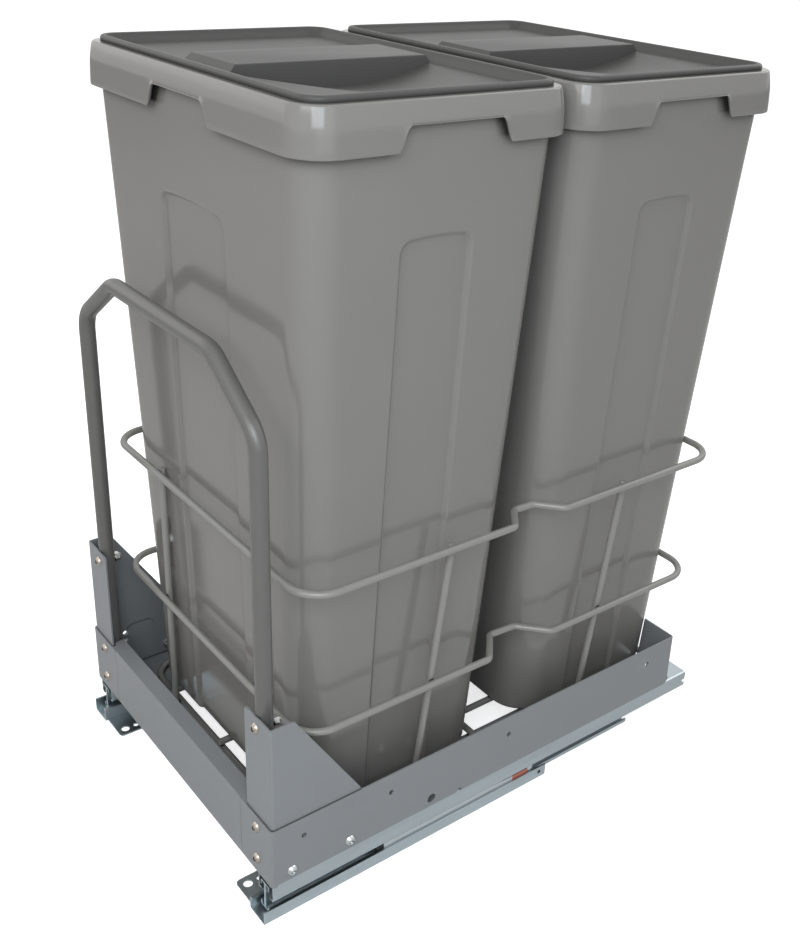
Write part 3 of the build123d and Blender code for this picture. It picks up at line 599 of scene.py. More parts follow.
@dataclass
class Panel:
    """Shallow panel in one face of the body, open at the foot."""

    half: float
    top: float = 560.0
    depth: float = 3.0
    slope: float = 4.5
    corner: float = 10.0
    arch: float = 3.0

    def depth_at(self, u: float, z: float) -> float:
        """Return the depth of the panel at a place on the face."""
        top = self.top - self.arch * (u / self.half) ** 2
        across = abs(u) - (self.half - self.corner)
        along = z - (top - self.corner)
        outside = math.hypot(max(across, 0.0), max(along, 0.0)) + min(max(across, along), 0.0)
        return self.depth * smoothstep((self.corner - outside) / self.slope)


@dataclass
class WasteBin:
    """Tapered bin with a turned-down skirt round its mouth."""

    name: str
    node: str
    body: Body
    middle_y: float
    foot_z: float = 52.3
    top_z: float = 655.0
    wall: float = 2.5
    floor: float = 3.0
    foot: Point = (136.5, 96.0, 34.0)  # half width, half depth, corner
    mouth: Point = (167.5, 111.5, 26.0)
    foot_shift: float = -4.0
    skirt: Point = (174.0, 118.0, 29.0)
    skirt_height: float = 34.0
    skirt_edge: float = 1.5
    crown_height: float = 27.0  # the skirt leans in over this height at its top
    crown_lean: float = 3.5
    notch_clear: float = 15.5  # from the mouth down to where the notches no longer reach
    seat: Point = (160.0, 104.0, 15.0)  # opening on whose edge the lid sits
    foot_edge: float = 5.0
    side_notch: Notch = field(default_factory=lambda: Notch(48.0, 41.5, 4.5))
    end_notch: Notch = field(default_factory=lambda: Notch(47.0, 39.0))
    side_panel: Panel = field(default_factory=lambda: Panel(33.5))
    end_panel: Panel = field(default_factory=lambda: Panel(51.5))
    side_last: float = 54.0  # from the middle of a side to where its plain, flat rest begins
    end_last: float = 62.0  # the same on an end face
    corner_steps: int = 16

    def stations(self, panel: Panel, notch: Notch, last: float) -> list[float]:
        """Return places along half a face: close together where its shape changes."""
        plain_step, corner_step, slope_step, notch_step = 8.0, 1.0, 0.55, 0.5
        beyond, least = 1.5, 0.28
        marks = [plain_step * i for i in range(int(last / plain_step) + 1)] + [last]
        edge = panel.half - panel.corner
        while edge < panel.half + beyond:
            marks.append(edge)
            edge += corner_step if edge < panel.half - panel.slope else slope_step
        edge = notch.high_half - notch.blend / 2 - notch.shift
        while edge < notch.low_half + beyond + notch.shift:
            marks.append(edge)
            edge += notch_step
        kept: list[float] = []
        for mark in sorted(marks):
            if mark <= last and (not kept or mark - kept[-1] > least):
                kept.append(mark)
        return kept

    @staticmethod
    def whole_face(marks: list[float], limit: float, steps: int) -> list[float]:
        """Mirror places along half a face, and add a few steps up to its corners on both sides."""
        last = marks[-1]
        ahead = marks + [last + (limit - last) * k / steps for k in range(1, steps + 1)]
        return [-m for m in reversed(ahead[1:])] + ahead

    def outline(self, size: Point, inset: float, shift: float) -> list[Walk]:
        """Walk once round a rounded rectangle.

        Args:
            size: Half width, half depth and corner radius.
            inset: How far the outline is drawn in.
            shift: How far it is moved along y.

        Returns:
            For each point its x and y, and its place along the side (third) or end face
            (fourth); the other of these two is None, and both are None in a corner.
        """
        half_x, half_y, corner = size
        out_x, out_y = half_x - inset, half_y - inset
        radius = corner - inset
        side_marks = self.stations(self.side_panel, self.side_notch, self.side_last)
        end_marks = self.stations(self.end_panel, self.end_notch, self.end_last)
        sides = self.whole_face(side_marks, half_y - corner, steps=2)
        ends = self.whole_face(end_marks, half_x - corner, steps=4)
        faces: tuple[list[Walk], ...] = (
            [(out_x, y + shift, y, None) for y in sides],
            [(-x, out_y + shift, None, x) for x in ends],
            [(-out_x, shift - y, y, None) for y in sides],
            [(x, shift - out_y, None, x) for x in ends],
        )
        signs = ((1, 1), (-1, 1), (-1, -1), (1, -1))
        points: list[Walk] = []
        for turn, (face, (sign_x, sign_y)) in enumerate(zip(faces, signs)):
            points += face
            for k in range(1, self.corner_steps):
                a = math.pi / 2 * (turn + k / self.corner_steps)
                x = sign_x * (half_x - corner) + radius * math.cos(a)
                y = sign_y * (half_y - corner) + radius * math.sin(a)
                points.append((x, y + shift, None, None))
        return points

    def body_ring(self, z: float, inset: float) -> list[Point]:
        """Return one ring of the body's wall, with its panels pressed in."""
        t = (z - self.foot_z) / (self.top_z - self.foot_z)
        half_x, half_y, corner = (a + (b - a) * t for a, b in zip(self.foot, self.mouth))
        shift = self.foot_shift * (1 - t)
        ring = []
        for x, y, side, end in self.outline((half_x, half_y, corner), inset, shift):
            if side is not None:
                x -= math.copysign(self.side_panel.depth_at(side, z), x)
            elif end is not None:
                y -= math.copysign(self.end_panel.depth_at(end, z), y - shift)
            ring.append((x, y + self.middle_y, z))
        return ring

    def skirt_ring(self, inset: float, part_way: float, lift: float = 0.0) -> list[Point]:
        """Return one ring of the skirt.

        Args:
            inset: How far the ring lies inside the skirt's outer face.
            part_way: 0 at the lower edge, which follows the notches, and 1 just over them.
            lift: Height above the lower edge, for the rounding of that edge.

        Returns:
            The ring's points.
        """
        high = self.top_z - self.notch_clear
        ring = []
        for x, y, side, end in self.outline(self.skirt, inset + self.lean(high) * part_way**1.5, 0.0):
            low = self.top_z - self.skirt_height
            if side is not None:
                low += self.side_notch.rise(y)
            elif end is not None:
                low += self.end_notch.rise(end)
            low += lift
            ring.append((x, y + self.middle_y, low + (high - low) * part_way))
        return ring

    def lean(self, z: float) -> float:
        """Return how far the crowned skirt leans in at a height."""
        part_way = max(z - self.top_z + self.crown_height, 0.0) / self.crown_height
        return self.crown_lean * part_way**1.8

    def flat_ring(self, size: Point, inset: float, z: float) -> list[Point]:
        """Return a level ring round the mouth."""
        return [(x, y + self.middle_y, z) for x, y, _, _ in self.outline(size, inset, 0.0)]

    def heights(self, low: float, high: float) -> list[float]:
        """Return the heights of the body's rings, close together at the panels' tops."""
        panel_top = self.side_panel.top
        plain_rings, plain_end = 10, panel_top - 24
        fine_start, fine_end, fine_step = panel_top - 20, panel_top + 3, 1.1
        marks = [low + (plain_end - low) * i / plain_rings for i in range(plain_rings + 1)]
        mark = fine_start
        while mark < fine_end:
            marks.append(mark)
            mark += fine_step
        return marks + [panel_top + 20, panel_top + 45, self.top_z - self.skirt_height, high]

    def outer_rings(self) -> list[list[Point]]:
        """Return the rings from the foot up the wall, out under the rim and down inside the skirt."""
        edge = self.foot_edge
        under_rim = self.top_z - 2 * self.wall
        narrow = self.wall + self.lean(under_rim)
        turn_out = (  # size, inset and drop under the rim
            (self.mouth, -0.3, 0.4),
            (self.mouth, -0.8, 0.0),
            (self.skirt, narrow + 0.5, 0.0),
            (self.skirt, narrow, 0.6),
        )
        rings = [
            self.body_ring(self.foot_z + edge * under, edge * inside)
            for under, inside in reversed(round_edge(5))
        ]
        wall_start, wall_end = self.foot_z + edge + 12, under_rim - 2.0
        rings += [self.body_ring(z, 0.0) for z in self.heights(wall_start, wall_end)]
        rings += [self.flat_ring(size, inset, under_rim - drop) for size, inset, drop in turn_out]
        rings.append(self.skirt_ring(self.wall, part_way=1.0))
        rings.append(self.skirt_ring(self.wall, part_way=0.0, lift=2.6))
        return rings

    def skirt_rings(self) -> list[list[Point]]:
        """Return the rings round the skirt's lower edge, up its face and over the rim to the seat."""
        wall = self.wall
        lower_edge = ((wall, 2.4), (wall, 0.5), (wall - 0.5, 0.0), (0.7, 0.0), (0.2, 0.2))  # inset, lift
        rings = [self.skirt_ring(inset, 0.0, lift) for inset, lift in lower_edge]
        rings += [self.skirt_ring(0.0, part_way, lift=0.7) for part_way in (0.0, 0.25, 0.5, 0.75, 1.0)]
        crown = [(self.top_z - drop, 0.0) for drop in (13.0, 10.5, 8.0, 5.5, 3.5)]  # height, inset
        crown += [
            (self.top_z - self.skirt_edge * under, self.skirt_edge * inside)
            for under, inside in round_edge(6)
        ]
        rings += [self.flat_ring(self.skirt, self.lean(z) + inset, z) for z, inset in crown]
        seat_edge = ((-0.8, 0.0), (-0.2, 0.2), (0.0, 0.8), (0.0, 2.1), (-0.4, wall))  # inset, drop
        return rings + [self.flat_ring(self.seat, inset, self.top_z - drop) for inset, drop in seat_edge]

    def inner_rings(self) -> list[list[Point]]:
        """Return the rings from the mouth down the inside of the wall to the floor."""
        edge = self.foot_edge
        floor_z = self.foot_z + self.floor
        under_rim = self.top_z - 2 * self.wall
        rings = [self.flat_ring(self.mouth, self.wall + 0.5, self.top_z - self.wall)]
        for z in reversed(self.heights(floor_z + edge, under_rim - 4.0)):
            rings.append(self.body_ring(z, self.wall))
        for under, inside in round_edge(4)[1:]:
            rings.append(self.body_ring(floor_z + edge * under, self.wall + edge * inside))
        return rings

    def build(self, finishes: Finishes) -> None:
        """Build the bin as one closed skin, from the foot out, over the rim and inside."""
        draft = MeshDraft()
        rings = self.outer_rings() + self.skirt_rings() + self.inner_rings()
        rows = [draft.add(ring) for ring in rings]
        draft.loft(rows)
        draft.cap(rows[0], flip=True)
        draft.cap(rows[-1])
        piece = draft.build(self.name, sharp_angle=50.0)
        place(piece, self.body, [self.node], finishes.of("bin_plastic"))


# ------------------------------------------------------------------ lids


@dataclass
class BinLid:
    """Drop-in lid: a tray with a raised rim, a plateau and a finger scoop beside it."""

    name: str
    node: str
    body: Body
    middle_y: float
    rim_z: float = 655.0
    half: Point = (163.5, 107.5, 17.0)  # half width, half depth, corner
    lip_height: float = 4.5
    lip_width: float = 5.5
    lip_edge: float = 2.3
    inner_edge: float = 2.0
    floor_drop: float = 3.0
    wall_slope: float = 4.5
    sheet: float = 2.2
    plateau: tuple[float, float, float, float] = (-46.0, 21.0, -80.0, 90.0)  # left, right, front, rear
    plateau_height: float = 6.5
    plateau_draft: float = 5.0
    plateau_edge: float = 0.9
    scoop_half: float = 88.0
    scoop_depth: float = 14.0
    scoop_reach: float = 130.0
    corner_steps: int = 10
    scoop_rows: int = 36
    scoop_columns: int = 48

    @property
    def floor_z(self) -> float:
        """Height of the tray's floor."""
        return self.rim_z - self.floor_drop

    @property
    def scoop_y(self) -> float:
        """Middle line of the plateau and its scoop, from the lid's middle."""
        return (self.plateau[2] + self.plateau[3]) / 2

    @property
    def across(self) -> list[float]:
        """Places across the scoop, from -1 to 1."""
        return [-1 + 2 * k / self.scoop_columns for k in range(self.scoop_columns + 1)]

    def rim_ring(self, inset: float, z: float) -> list[Point]:
        """Return a level rounded rectangle, drawn in from the lid's outline."""
        half_x, half_y, corner = self.half
        radius = max(corner - inset, 1.0)
        half_x -= inset
        half_y -= inset
        ring = []
        for turn, (sx, sy) in enumerate(((1, 1), (-1, 1), (-1, -1), (1, -1))):
            for k in range(self.corner_steps + 1):
                a = math.pi / 2 * (turn + k / self.corner_steps)
                x = sx * (half_x - radius) + radius * math.cos(a)
                y = sy * (half_y - radius) + radius * math.sin(a)
                ring.append((x, y + self.middle_y, z))
        return ring

    def scoop_drop(self, t: float, along: float) -> tuple[float, float, float]:
        """Return the place and depth of a point of the scoop.

        Args:
            t: -1 to 1 across the scoop.
            along: 0 at the plateau, 1 at the scoop's tip.

        Returns:
            x, y from the scoop's middle line, and depth under the floor.
        """
        radius = (self.scoop_half**2 + self.scoop_depth**2) / (2 * self.scoop_depth)
        sag = self.scoop_depth * (1 - along) ** 2
        chord = math.sqrt(max(2 * radius * sag - sag * sag, 0.0))
        x = self.plateau[1] + self.scoop_reach * (1 - (1 - along) ** 2)
        y = chord * t
        return x, y, math.sqrt(radius * radius - y * y) - (radius - sag)

    def plateau_ring(self, inset: float, z: float | None, spread: float) -> list[Point]:
        """Return a ring round the plateau; its right side carries the scoop's columns.

        Args:
            inset: How far the three sloping sides lie inside the plateau's foot.
            z: Height, or None for the foot, whose right side follows the scoop.
            spread: How far the right side is drawn in from the upright face.

        Returns:
            The ring's points, counter-clockwise from above.
        """
        left, right, front, rear = self.plateau
        draft = self.plateau_draft
        low_x, high_x = left - draft + inset, right - spread
        low_y, high_y = front - draft + inset, rear + draft - inset
        level = self.floor_z if z is None else z
        ring = [(high_x, low_y, level)]
        for t in self.across:
            if z is None:
                _, y, drop = self.scoop_drop(t, 0.0)
                ring.append((high_x, self.scoop_y + y, level - drop))
            else:
                reach = (high_y - low_y) / 2 * (self.scoop_half / (self.scoop_half + draft))
                ring.append((high_x, (low_y + high_y) / 2 + reach * t, level))
        corners = ((high_x, high_y), (low_x, high_y), (low_x, low_y), (high_x, low_y))
        steps = 8
        for (x0, y0), (x1, y1) in zip(corners, corners[1:]):
            ring.append((x0, y0, level))
            for k in range(1, steps):
                ring.append((x0 + (x1 - x0) * k / steps, y0 + (y1 - y0) * k / steps, level))
        return [(x, y + self.middle_y, z_) for x, y, z_ in ring]

    def draw_tray(self, draft: MeshDraft) -> list[int]:
        """Draw the raised rim and the tray's wall, and return the row at its floor's edge."""
        crest = self.rim_z + self.lip_height
        low = crest - self.inner_edge
        foot_inset = self.lip_width + self.wall_slope
        rings = [(0.0, self.rim_z + 0.1)]
        for under, inside in round_edge(6):
            rings.append((self.lip_edge * inside, crest - self.lip_edge * under))
        for under, inside in round_edge(4):
            rings.append((self.lip_width - self.inner_edge * under, crest - self.inner_edge * inside))
        for part in (0.35, 0.7, 0.88):
            rings.append((self.lip_width + self.wall_slope * part, low - (low - self.floor_z) * part))
        for inset, lift in ((0.35, 0.75), (0.0, 0.3), (-0.9, 0.05), (-2.0, 0.0)):
            rings.append((foot_inset - inset, self.floor_z + lift))
        rows = [draft.add(self.rim_ring(inset, z)) for inset, z in rings]
        draft.loft(rows)
        return rows[-1]

    def draw_plateau(self, draft: MeshDraft) -> list[int]:
        """Draw the plateau with its rounded top edge, and return the row at its foot."""
        top = self.floor_z + self.plateau_height
        edge = self.plateau_edge
        slope = self.plateau_draft / self.plateau_height
        turn_in = 0.6  # share of the rounding that the sloping sides take; the upright one takes it all
        rings = [draft.add(self.plateau_ring(0.0, None, 0.0))]
        for under, inside in round_edge(4):
            inset = self.plateau_draft - edge * slope * under + edge * inside * turn_in
            rings.append(draft.add(self.plateau_ring(inset, top - edge * under, edge * inside)))
        draft.loft(rings)
        draft.cap(rings[-1])
        return rings[0]

    def draw_scoop(self, draft: MeshDraft, foot: Sequence[int]) -> list[int]:
        """Draw the finger scoop from the plateau to its tip, and return the row at its edge."""
        rows = [foot[1 : self.scoop_columns + 2]]
        for k in range(1, self.scoop_rows):
            spots = [self.scoop_drop(t, k / self.scoop_rows) for t in self.across]
            rows.append(
                draft.add((x, self.scoop_y + y + self.middle_y, self.floor_z - drop) for x, y, drop in spots)
            )
        draft.loft(rows, closed=False)
        tip_x, _, _ = self.scoop_drop(0.0, 1.0)
        tip = draft.add([(tip_x, self.scoop_y + self.middle_y, self.floor_z)])[0]
        for a, b in zip(rows[-1], rows[-1][1:]):
            draft.faces.append((a, b, tip))
        return [row[0] for row in rows] + [tip] + [row[-1] for row in reversed(rows)]

    def build(self, finishes: Finishes) -> None:
        """Build the lid's upper skin and give it the sheet's thickness."""
        draft = MeshDraft()
        tray_edge = self.draw_tray(draft)
        foot = self.draw_plateau(draft)
        scoop_edge = self.draw_scoop(draft, foot)
        self.fill_tray(draft, tray_edge, [foot[0]] + scoop_edge + foot[self.scoop_columns + 2 :])
        piece = draft.build(self.name, sharp_angle=32.0)
        skin = piece.modifiers.new("sheet", "SOLIDIFY")
        skin.thickness = self.sheet * MM
        skin.offset = -1.0
        skin.use_even_offset = False
        place(piece, self.body, [self.node], finishes.of("lid_plastic"))

    def fill_tray(self, draft: MeshDraft, outer: Sequence[int], island: Sequence[int]) -> None:
        """Fill the flat floor between the tray's edge and the plateau with its scoop."""
        work = bmesh.new()
        edges = []
        back: dict[Any, int] = {}
        for loop in (outer, island):
            verts = []
            for number in loop:
                vert = work.verts.new(draft.points[number])
                back[vert] = number
                verts.append(vert)
            edges += [work.edges.new((a, b)) for a, b in zip(verts, verts[1:] + verts[:1])]
        bmesh.ops.triangle_fill(work, use_beauty=True, use_dissolve=False, edges=edges, normal=(0, 0, 1))
        for face in work.faces:
            draft.faces.append(tuple(back[v] for v in face.verts))
        work.free()


# ------------------------------------------------------------------ handle and basket


@dataclass
class HandleTube:
    """One bent tube: two legs, sloping shoulders and a straight grip."""

    radius: float = 7.0
    wall: float = 1.2
    leg_x: float = 147.5
    middle_y: float = 10.0
    bottom: float = 72.0
    shoulder: float = 430.0
    top_x: float = 84.0
    top: float = 474.0
    bend: float = 28.0
    sides: int = 28

    def build(self, finishes: Finishes) -> None:
        """Build the tube with its open ends."""
        y = self.middle_y
        right = [(self.leg_x, y, self.bottom), (self.leg_x, y, self.shoulder), (self.top_x, y, self.top)]
        corners = [(-a, b, c) for a, b, c in right] + list(reversed(right))
        line = bend_line(corners, [self.bend] * len(corners), closed=False, step=4.0)
        back = Vector((0, 1, 0))
        draft = MeshDraft()
        skins = []
        for radius in (self.radius, self.radius - self.wall):
            rows = []
            for i, spot in enumerate(line):
                side = direction_at(line, i).cross(back).normalized()
                rows.append(draft.add(circle(spot, side, back, radius, self.sides)))
            draft.loft(rows)
            skins.append(rows)
        outer, inner = skins
        draft.bridge(inner[0], outer[0])
        draft.bridge(outer[-1], inner[-1])
        piece = draft.build("handle_bar", sharp_angle=40.0)
        place(piece, Body.FRAME, ["handle_tube"], finishes.of("grey_tube"))


@dataclass
class WireBasket:
    """Welded wire basket: three loops, the wires the bins stand on, and the uprights."""

    finishes: Finishes
    wire: float = 6.4
    weld_depth: float = 0.3
    bead_radius: float = 2.15
    bead_half: float = 1.1
    floor_z: float = 42.7
    lower_z: float = 167.0
    upper_z: float = 298.0
    lower_half: float = 165.0
    upper_half: float = 170.0
    lower_rear: float = 488.0
    upper_rear: float = 493.0
    front: float = 35.0
    loop_bend: float = 28.0
    waist_bend: float = 7.0
    floor_bend: float = 25.0
    lower_waist: Waist = ((0.0, 224.0), (28.0, 248.0), (26.0, 275.0), (0.0, 299.0))  # inset, y
    upper_waist: Waist = ((0.0, 238.0), (22.5, 256.0), (22.0, 277.0), (0.0, 297.0))
    upright_x: float = 82.0
    long_x: tuple[float, ...] = (-95.0, 0.0, 95.0)
    cross_y: tuple[float, ...] = (110.0, 250.0, 400.0)
    side_y: tuple[float, ...] = (175.5, 373.5)
    side_lean: float = 24.5

    @property
    def step(self) -> float:
        """Distance between the middles of two wires that are welded together."""
        return self.wire - self.weld_depth

    @property
    def flare(self) -> float:
        """Slope of the side and rear uprights, from the lower loop to the upper one."""
        return (self.upper_half - self.lower_half) / (self.upper_z - self.lower_z)

    @property
    def low(self) -> float:
        """Height of the uprights' feet, just over the underside of the floor loop."""
        return self.floor_z - self.wire / 2 + self.weld_depth

    @property
    def high(self) -> float:
        """Height of the uprights' heads, just over the middle of the upper loop."""
        return self.upper_z + self.wire / 4

    def flare_at(self, z: float) -> float:
        """Return how far the side and rear uprights stand out at a height."""
        return self.flare * (z - self.lower_z)

    def bar(
        self,
        name: str,
        node: str,
        lines: Sequence[Sequence[Vector]],
        closed: bool = False,
        welds: Sequence[tuple[Point, Point]] = (),
    ) -> None:
        """Build wires of one kind as one piece, with their weld beads."""
        draft = MeshDraft()
        for line in lines:
            lies = closed or abs((line[1] - line[0]).normalized().z) < 0.5
            up = Vector((0, 0, 1)) if lies else Vector((0, 1, 0))
            sweep_round(draft, line, self.wire / 2, up, closed)
        for centre, across in welds:
            self.weld(draft, Vector(centre), Vector(across))
        piece = draft.build(name, sharp_angle=50.0)
        place(piece, Body.FRAME, [node], self.finishes.of("grey_wire"))

    def weld(self, draft: MeshDraft, centre: Vector, across: Vector) -> None:
        """Draw the bead that a resistance weld squeezes out between two crossed wires."""
        side = across.orthogonal().normalized()
        other = across.cross(side)
        rings, sides = 5, 12
        rows = []
        for k in range(rings):
            a = math.pi * (k + 0.5) / rings
            middle = centre + across * (-self.bead_half * math.cos(a))
            rows.append(draft.add(circle(middle, side, other, self.bead_radius * math.sin(a), sides)))
        draft.loft(rows)
        draft.cap(rows[0], flip=True)
        draft.cap(rows[-1])

    def loop(self, name: str, node: str, half: float, rear: float, z: float, waist: Waist) -> None:
        """Build a loop that goes round both bins and is drawn in where they meet."""
        right = [(half, self.front, z)] + [(half - inset, y, z) for inset, y in waist] + [(half, rear, z)]
        left = [(-x, y, z_) for x, y, z_ in reversed(right)]
        bends = [self.loop_bend] + [self.waist_bend] * len(waist) + [self.loop_bend]
        self.bar(name, node, [bend_line(right + left, bends + bends, closed=True)], closed=True)

    def build_floor(self) -> None:
        """Build the floor loop, and the wires across it that the bins stand on."""
        z, step, half_wire = self.floor_z, self.step, self.wire / 2
        half = self.lower_half - 2 * step + self.flare_at(z)
        front = self.front + 2 * step
        rear = self.lower_rear + self.flare_at(z)
        corners = [(half, front, z), (half, rear, z), (-half, rear, z), (-half, front, z)]
        loop_line = bend_line(corners, [self.floor_bend] * 4, closed=True)
        self.bar("basket_foot_ring", "basket_floor_loop", [loop_line], closed=True)
        ends = (front - half_wire, rear + half_wire)
        long_lines = [[Vector((x, y, z + step)) for y in ends] for x in self.long_x]
        crossings = (front, *self.cross_y, rear)
        long_welds = [((x, y, z + step / 2), (0, 0, 1)) for x in self.long_x for y in crossings]
        self.bar("basket_floor_rods", "basket_long_wires", long_lines, welds=long_welds)
        cross_half = half - half_wire + self.weld_depth
        cross_lines = [[Vector((x, y, z)) for x in (-cross_half, cross_half)] for y in self.cross_y]
        self.bar("basket_floor_ties", "basket_cross_wires", cross_lines)

    def build_end_uprights(self) -> None:
        """Build the upright front wires, and the rear ones, which follow the loops' flare."""
        levels = (self.lower_z, self.upper_z)
        columns = (-self.upright_x, self.upright_x)
        front_y = self.front + self.step
        rear_y = self.lower_rear + self.step
        lines = [[Vector((x, front_y, z)) for z in (self.low, self.high)] for x in columns]
        welds = [((x, self.front + self.step / 2, z), (0, 1, 0)) for x in columns for z in levels]
        self.bar("basket_front_posts", "basket_front_uprights", lines, welds=welds)
        lines = [
            [Vector((x, rear_y + self.flare_at(z), z)) for z in (self.low, self.high)] for x in columns
        ]
        welds = [
            ((x, self.lower_rear + self.flare_at(z) + self.step / 2, z), (0, 1, 0))
            for x in columns
            for z in levels
        ]
        self.bar("basket_rear_posts", "basket_rear_uprights", lines, welds=welds)

    def build_side_uprights(self, side: int, word: str) -> None:
        """Build the side wires, which lean forward from head to foot."""
        foot_x = self.lower_half - self.step + self.flare_at(self.low)
        head_x = self.lower_half - self.step + self.flare_at(self.high)
        lines, welds = [], []
        for y in self.side_y:
            foot_y = y - self.side_lean
            lines.append([Vector((side * foot_x, foot_y, self.low)), Vector((side * head_x, y, self.high))])
            for level in (self.lower_z, self.upper_z):
                t = (level - self.low) / (self.high - self.low)
                x = foot_x + (head_x - foot_x) * t + self.step / 2
                welds.append(((side * x, y - self.side_lean * (1 - t), level), (1, 0, 0)))
        self.bar(f"basket_side_posts_{word}", f"basket_side_uprights_{word}", lines, welds=welds)

    def build(self) -> None:
        """Build every wire of the basket."""
        upper = (self.upper_half, self.upper_rear, self.upper_z, self.upper_waist)
        lower = (self.lower_half, self.lower_rear, self.lower_z, self.lower_waist)
        self.loop("basket_top_ring", "basket_upper_loop", *upper)
        self.loop("basket_middle_ring", "basket_lower_loop", *lower)
        self.build_floor()
        self.build_end_uprights()
        self.build_side_uprights(1, "right")
        self.build_side_uprights(-1, "left")


# ------------------------------------------------------------------ studio


@dataclass(frozen=True)
class Lamp:
    """Soft square lamp that shines at a point; places are in metres."""

    name: str
    at: Point
    size: float
    power: float
    tint: Point = (1.0, 1.0, 1.0)
    aim: Point = (0.0, 0.25, 0.3)

    def hang(self) -> None:
        """Hang the lamp in the scene."""
        data = bpy.data.lights.new(self.name, "AREA")
        data.shape = "SQUARE"
        data.size = self.size
        data.energy = self.power
        data.color = self.tint
        lamp = bpy.data.objects.new(self.name, data)
        lamp.location = self.at
        lamp.rotation_mode = "QUATERNION"
        lamp.rotation_quaternion = (Vector(self.aim) - Vector(self.at)).to_track_quat("-Z", "Y")
        add_to_scene(lamp)


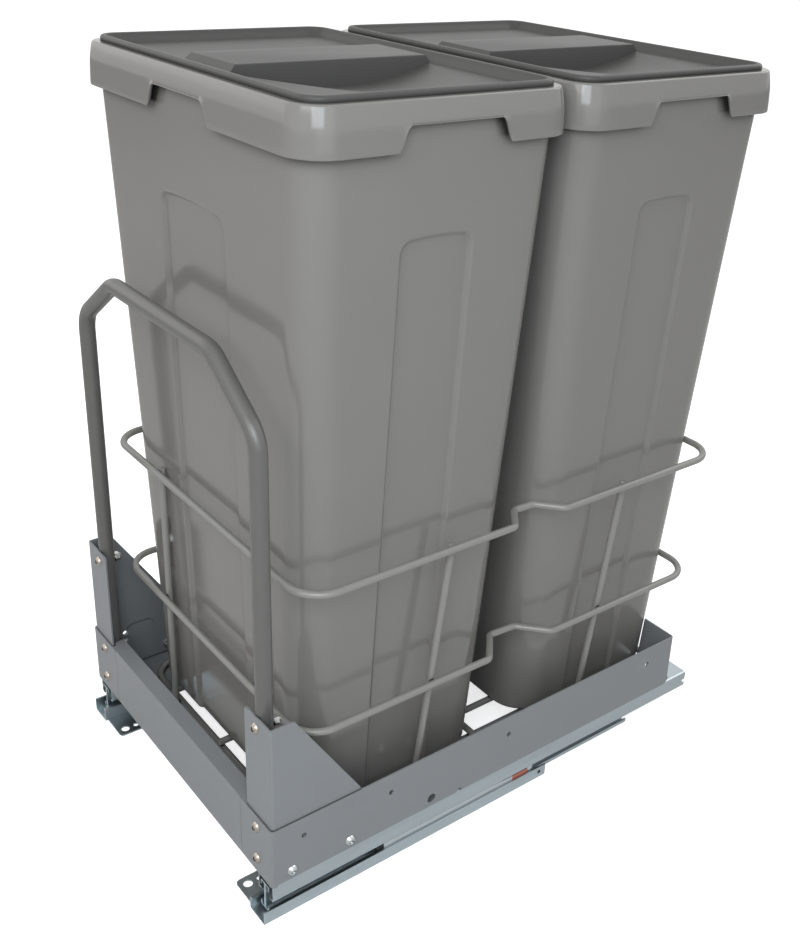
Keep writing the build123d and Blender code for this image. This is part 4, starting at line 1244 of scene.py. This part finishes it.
@dataclass
class Studio:
    """Pale floor, soft lamps and the camera at the photograph's viewing angle, in metres."""

    camera_at: Point = (0.79261, -0.35332, 0.78184)
    right: Point = (0.62405051, 0.77975005, 0.05050571)
    up: Point = (-0.35331179, 0.22393021, 0.90830944)
    forward: Point = (-0.69694457, 0.58467523, -0.41523865)
    lens: float = 45.383
    shift: tuple[float, float] = (-0.06615, -0.04617)
    floor_half: float = 14.0
    floor_z: float = -0.0004  # just under the unit, so that no two faces coincide
    sky: float = 0.42
    flash_rise: float = 0.14  # the flash sits over the camera by this much

    def camera(self) -> None:
        """Set up the camera at the photograph's place and angle."""
        data = bpy.data.cameras.new("camera")
        data.lens = self.lens
        data.sensor_width = 36.0
        data.shift_x, data.shift_y = self.shift
        data.clip_start, data.clip_end = 0.05, 50.0
        camera = bpy.data.objects.new("camera", data)
        turn = Matrix((self.right, self.up, [-c for c in self.forward])).transposed()
        camera.matrix_world = Matrix.Translation(self.camera_at) @ turn.to_4x4()
        bpy.context.scene.camera = add_to_scene(camera)

    def world(self) -> None:
        """Light the scene evenly; the camera, gloss and glass see plain white."""
        world = bpy.data.worlds.new("studio")
        bpy.context.scene.world = world
        world.use_nodes = True
        tree = world.node_tree
        tree.nodes.clear()
        path = add_node(tree, "ShaderNodeLightPath")
        seen = path.outputs["Is Camera Ray"]
        for kind in ("Is Glossy Ray", "Is Transmission Ray"):
            rays = {0: seen, 1: path.outputs[kind]}
            seen = add_node(tree, "ShaderNodeMath", {"operation": "MAXIMUM"}, rays).outputs[0]
        levels = {"To Min": self.sky, "To Max": 1.0}
        strength = add_node(tree, "ShaderNodeMapRange", levels, {"Value": seen}).outputs["Result"]
        white = {"Color": (1.0, 1.0, 1.0, 1.0)}
        light = add_node(tree, "ShaderNodeBackground", white, {"Strength": strength})
        add_node(tree, "ShaderNodeOutputWorld", {}, {"Surface": light.outputs["Background"]})

    def paper(self) -> bpy.types.Material:
        """Return the floor's white paper, which the camera sees lit up to the white of the sky."""
        material, tree = new_material("matt_white_paper")
        path = add_node(tree, "ShaderNodeLightPath")
        matt = {"Color": hex_to_linear("#E9E9E9"), "Roughness": 0.5}
        paper = add_node(tree, "ShaderNodeBsdfDiffuse", matt).outputs["BSDF"]
        white = {"Color": (1.0, 1.0, 1.0, 1.0), "Strength": 0.75}
        glow = add_node(tree, "ShaderNodeEmission", white).outputs["Emission"]
        both = add_node(tree, "ShaderNodeAddShader", {}, {0: paper, 1: glow}).outputs["Shader"]
        choice = {0: path.outputs["Is Camera Ray"], 1: paper, 2: both}
        seen = add_node(tree, "ShaderNodeMixShader", {}, choice)
        add_node(tree, "ShaderNodeOutputMaterial", {}, {"Surface": seen.outputs["Shader"]})
        return material

    def floor(self) -> None:
        """Lay the pale floor, which keeps the unit's shadow."""
        mesh = bpy.data.meshes.new("studio_floor")
        h = self.floor_half
        corners = [(x, y, self.floor_z) for x, y in ((-h, -h), (h, -h), (h, h), (-h, h))]
        mesh.from_pydata(corners, [], [(0, 1, 2, 3)])
        mesh.materials.append(self.paper())
        floor = add_to_scene(bpy.data.objects.new("studio_floor", mesh))

    def lamps(self) -> tuple[Lamp, ...]:
        """Return the lamps: window light, a camera flash, and soft light from the other sides."""
        x, y, z = self.camera_at
        cool: Point = (0.86, 0.94, 1.0)
        return (
            Lamp("key_lamp", (1.0, -1.75, 1.85), 1.6, 24.0, (1.0, 0.98, 0.95)),
            Lamp("side_lamp", (1.6, -0.3, 1.0), 1.5, 5.0, cool, (0.17, 0.1, 0.45)),
            Lamp("flash_lamp", (x, y, z + self.flash_rise), 0.5, 4.2, cool),
            Lamp("fill_lamp", (-1.9, -0.9, 1.5), 1.8, 7.0, (1.0, 0.985, 0.96)),
            Lamp("back_lamp", (0.3, 2.2, 2.0), 1.8, 16.0),
        )

    def build(self) -> None:
        """Set up camera, lamps, world and floor."""
        self.camera()
        bpy.context.scene.view_settings.view_transform = "Standard"
        self.world()
        self.floor()
        for lamp in self.lamps():
            lamp.hang()


# ------------------------------------------------------------------ the whole unit


def main() -> None:
    """Load the frame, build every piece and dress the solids."""
    logging.basicConfig(level=logging.INFO, format="%(name)s: %(message)s")
    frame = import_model()
    Studio().build()
    finishes = Finishes()
    finishes.dress_solids(frame)
    HandleTube().build(finishes)
    WireBasket(finishes).build()
    bins = (
        ("front", 149.5, Body.FRONT_BIN, Body.FRONT_LID),
        ("rear", 388.0, Body.REAR_BIN, Body.REAR_LID),
    )
    for word, middle_y, bin_body, lid_body in bins:
        WasteBin(f"{word}_waste_bin", f"{word}_bin", bin_body, middle_y).build(finishes)
        BinLid(f"{word}_bin_lid", f"{word}_lid", lid_body, middle_y).build(finishes)


if __name__ == "__main__":
    main()
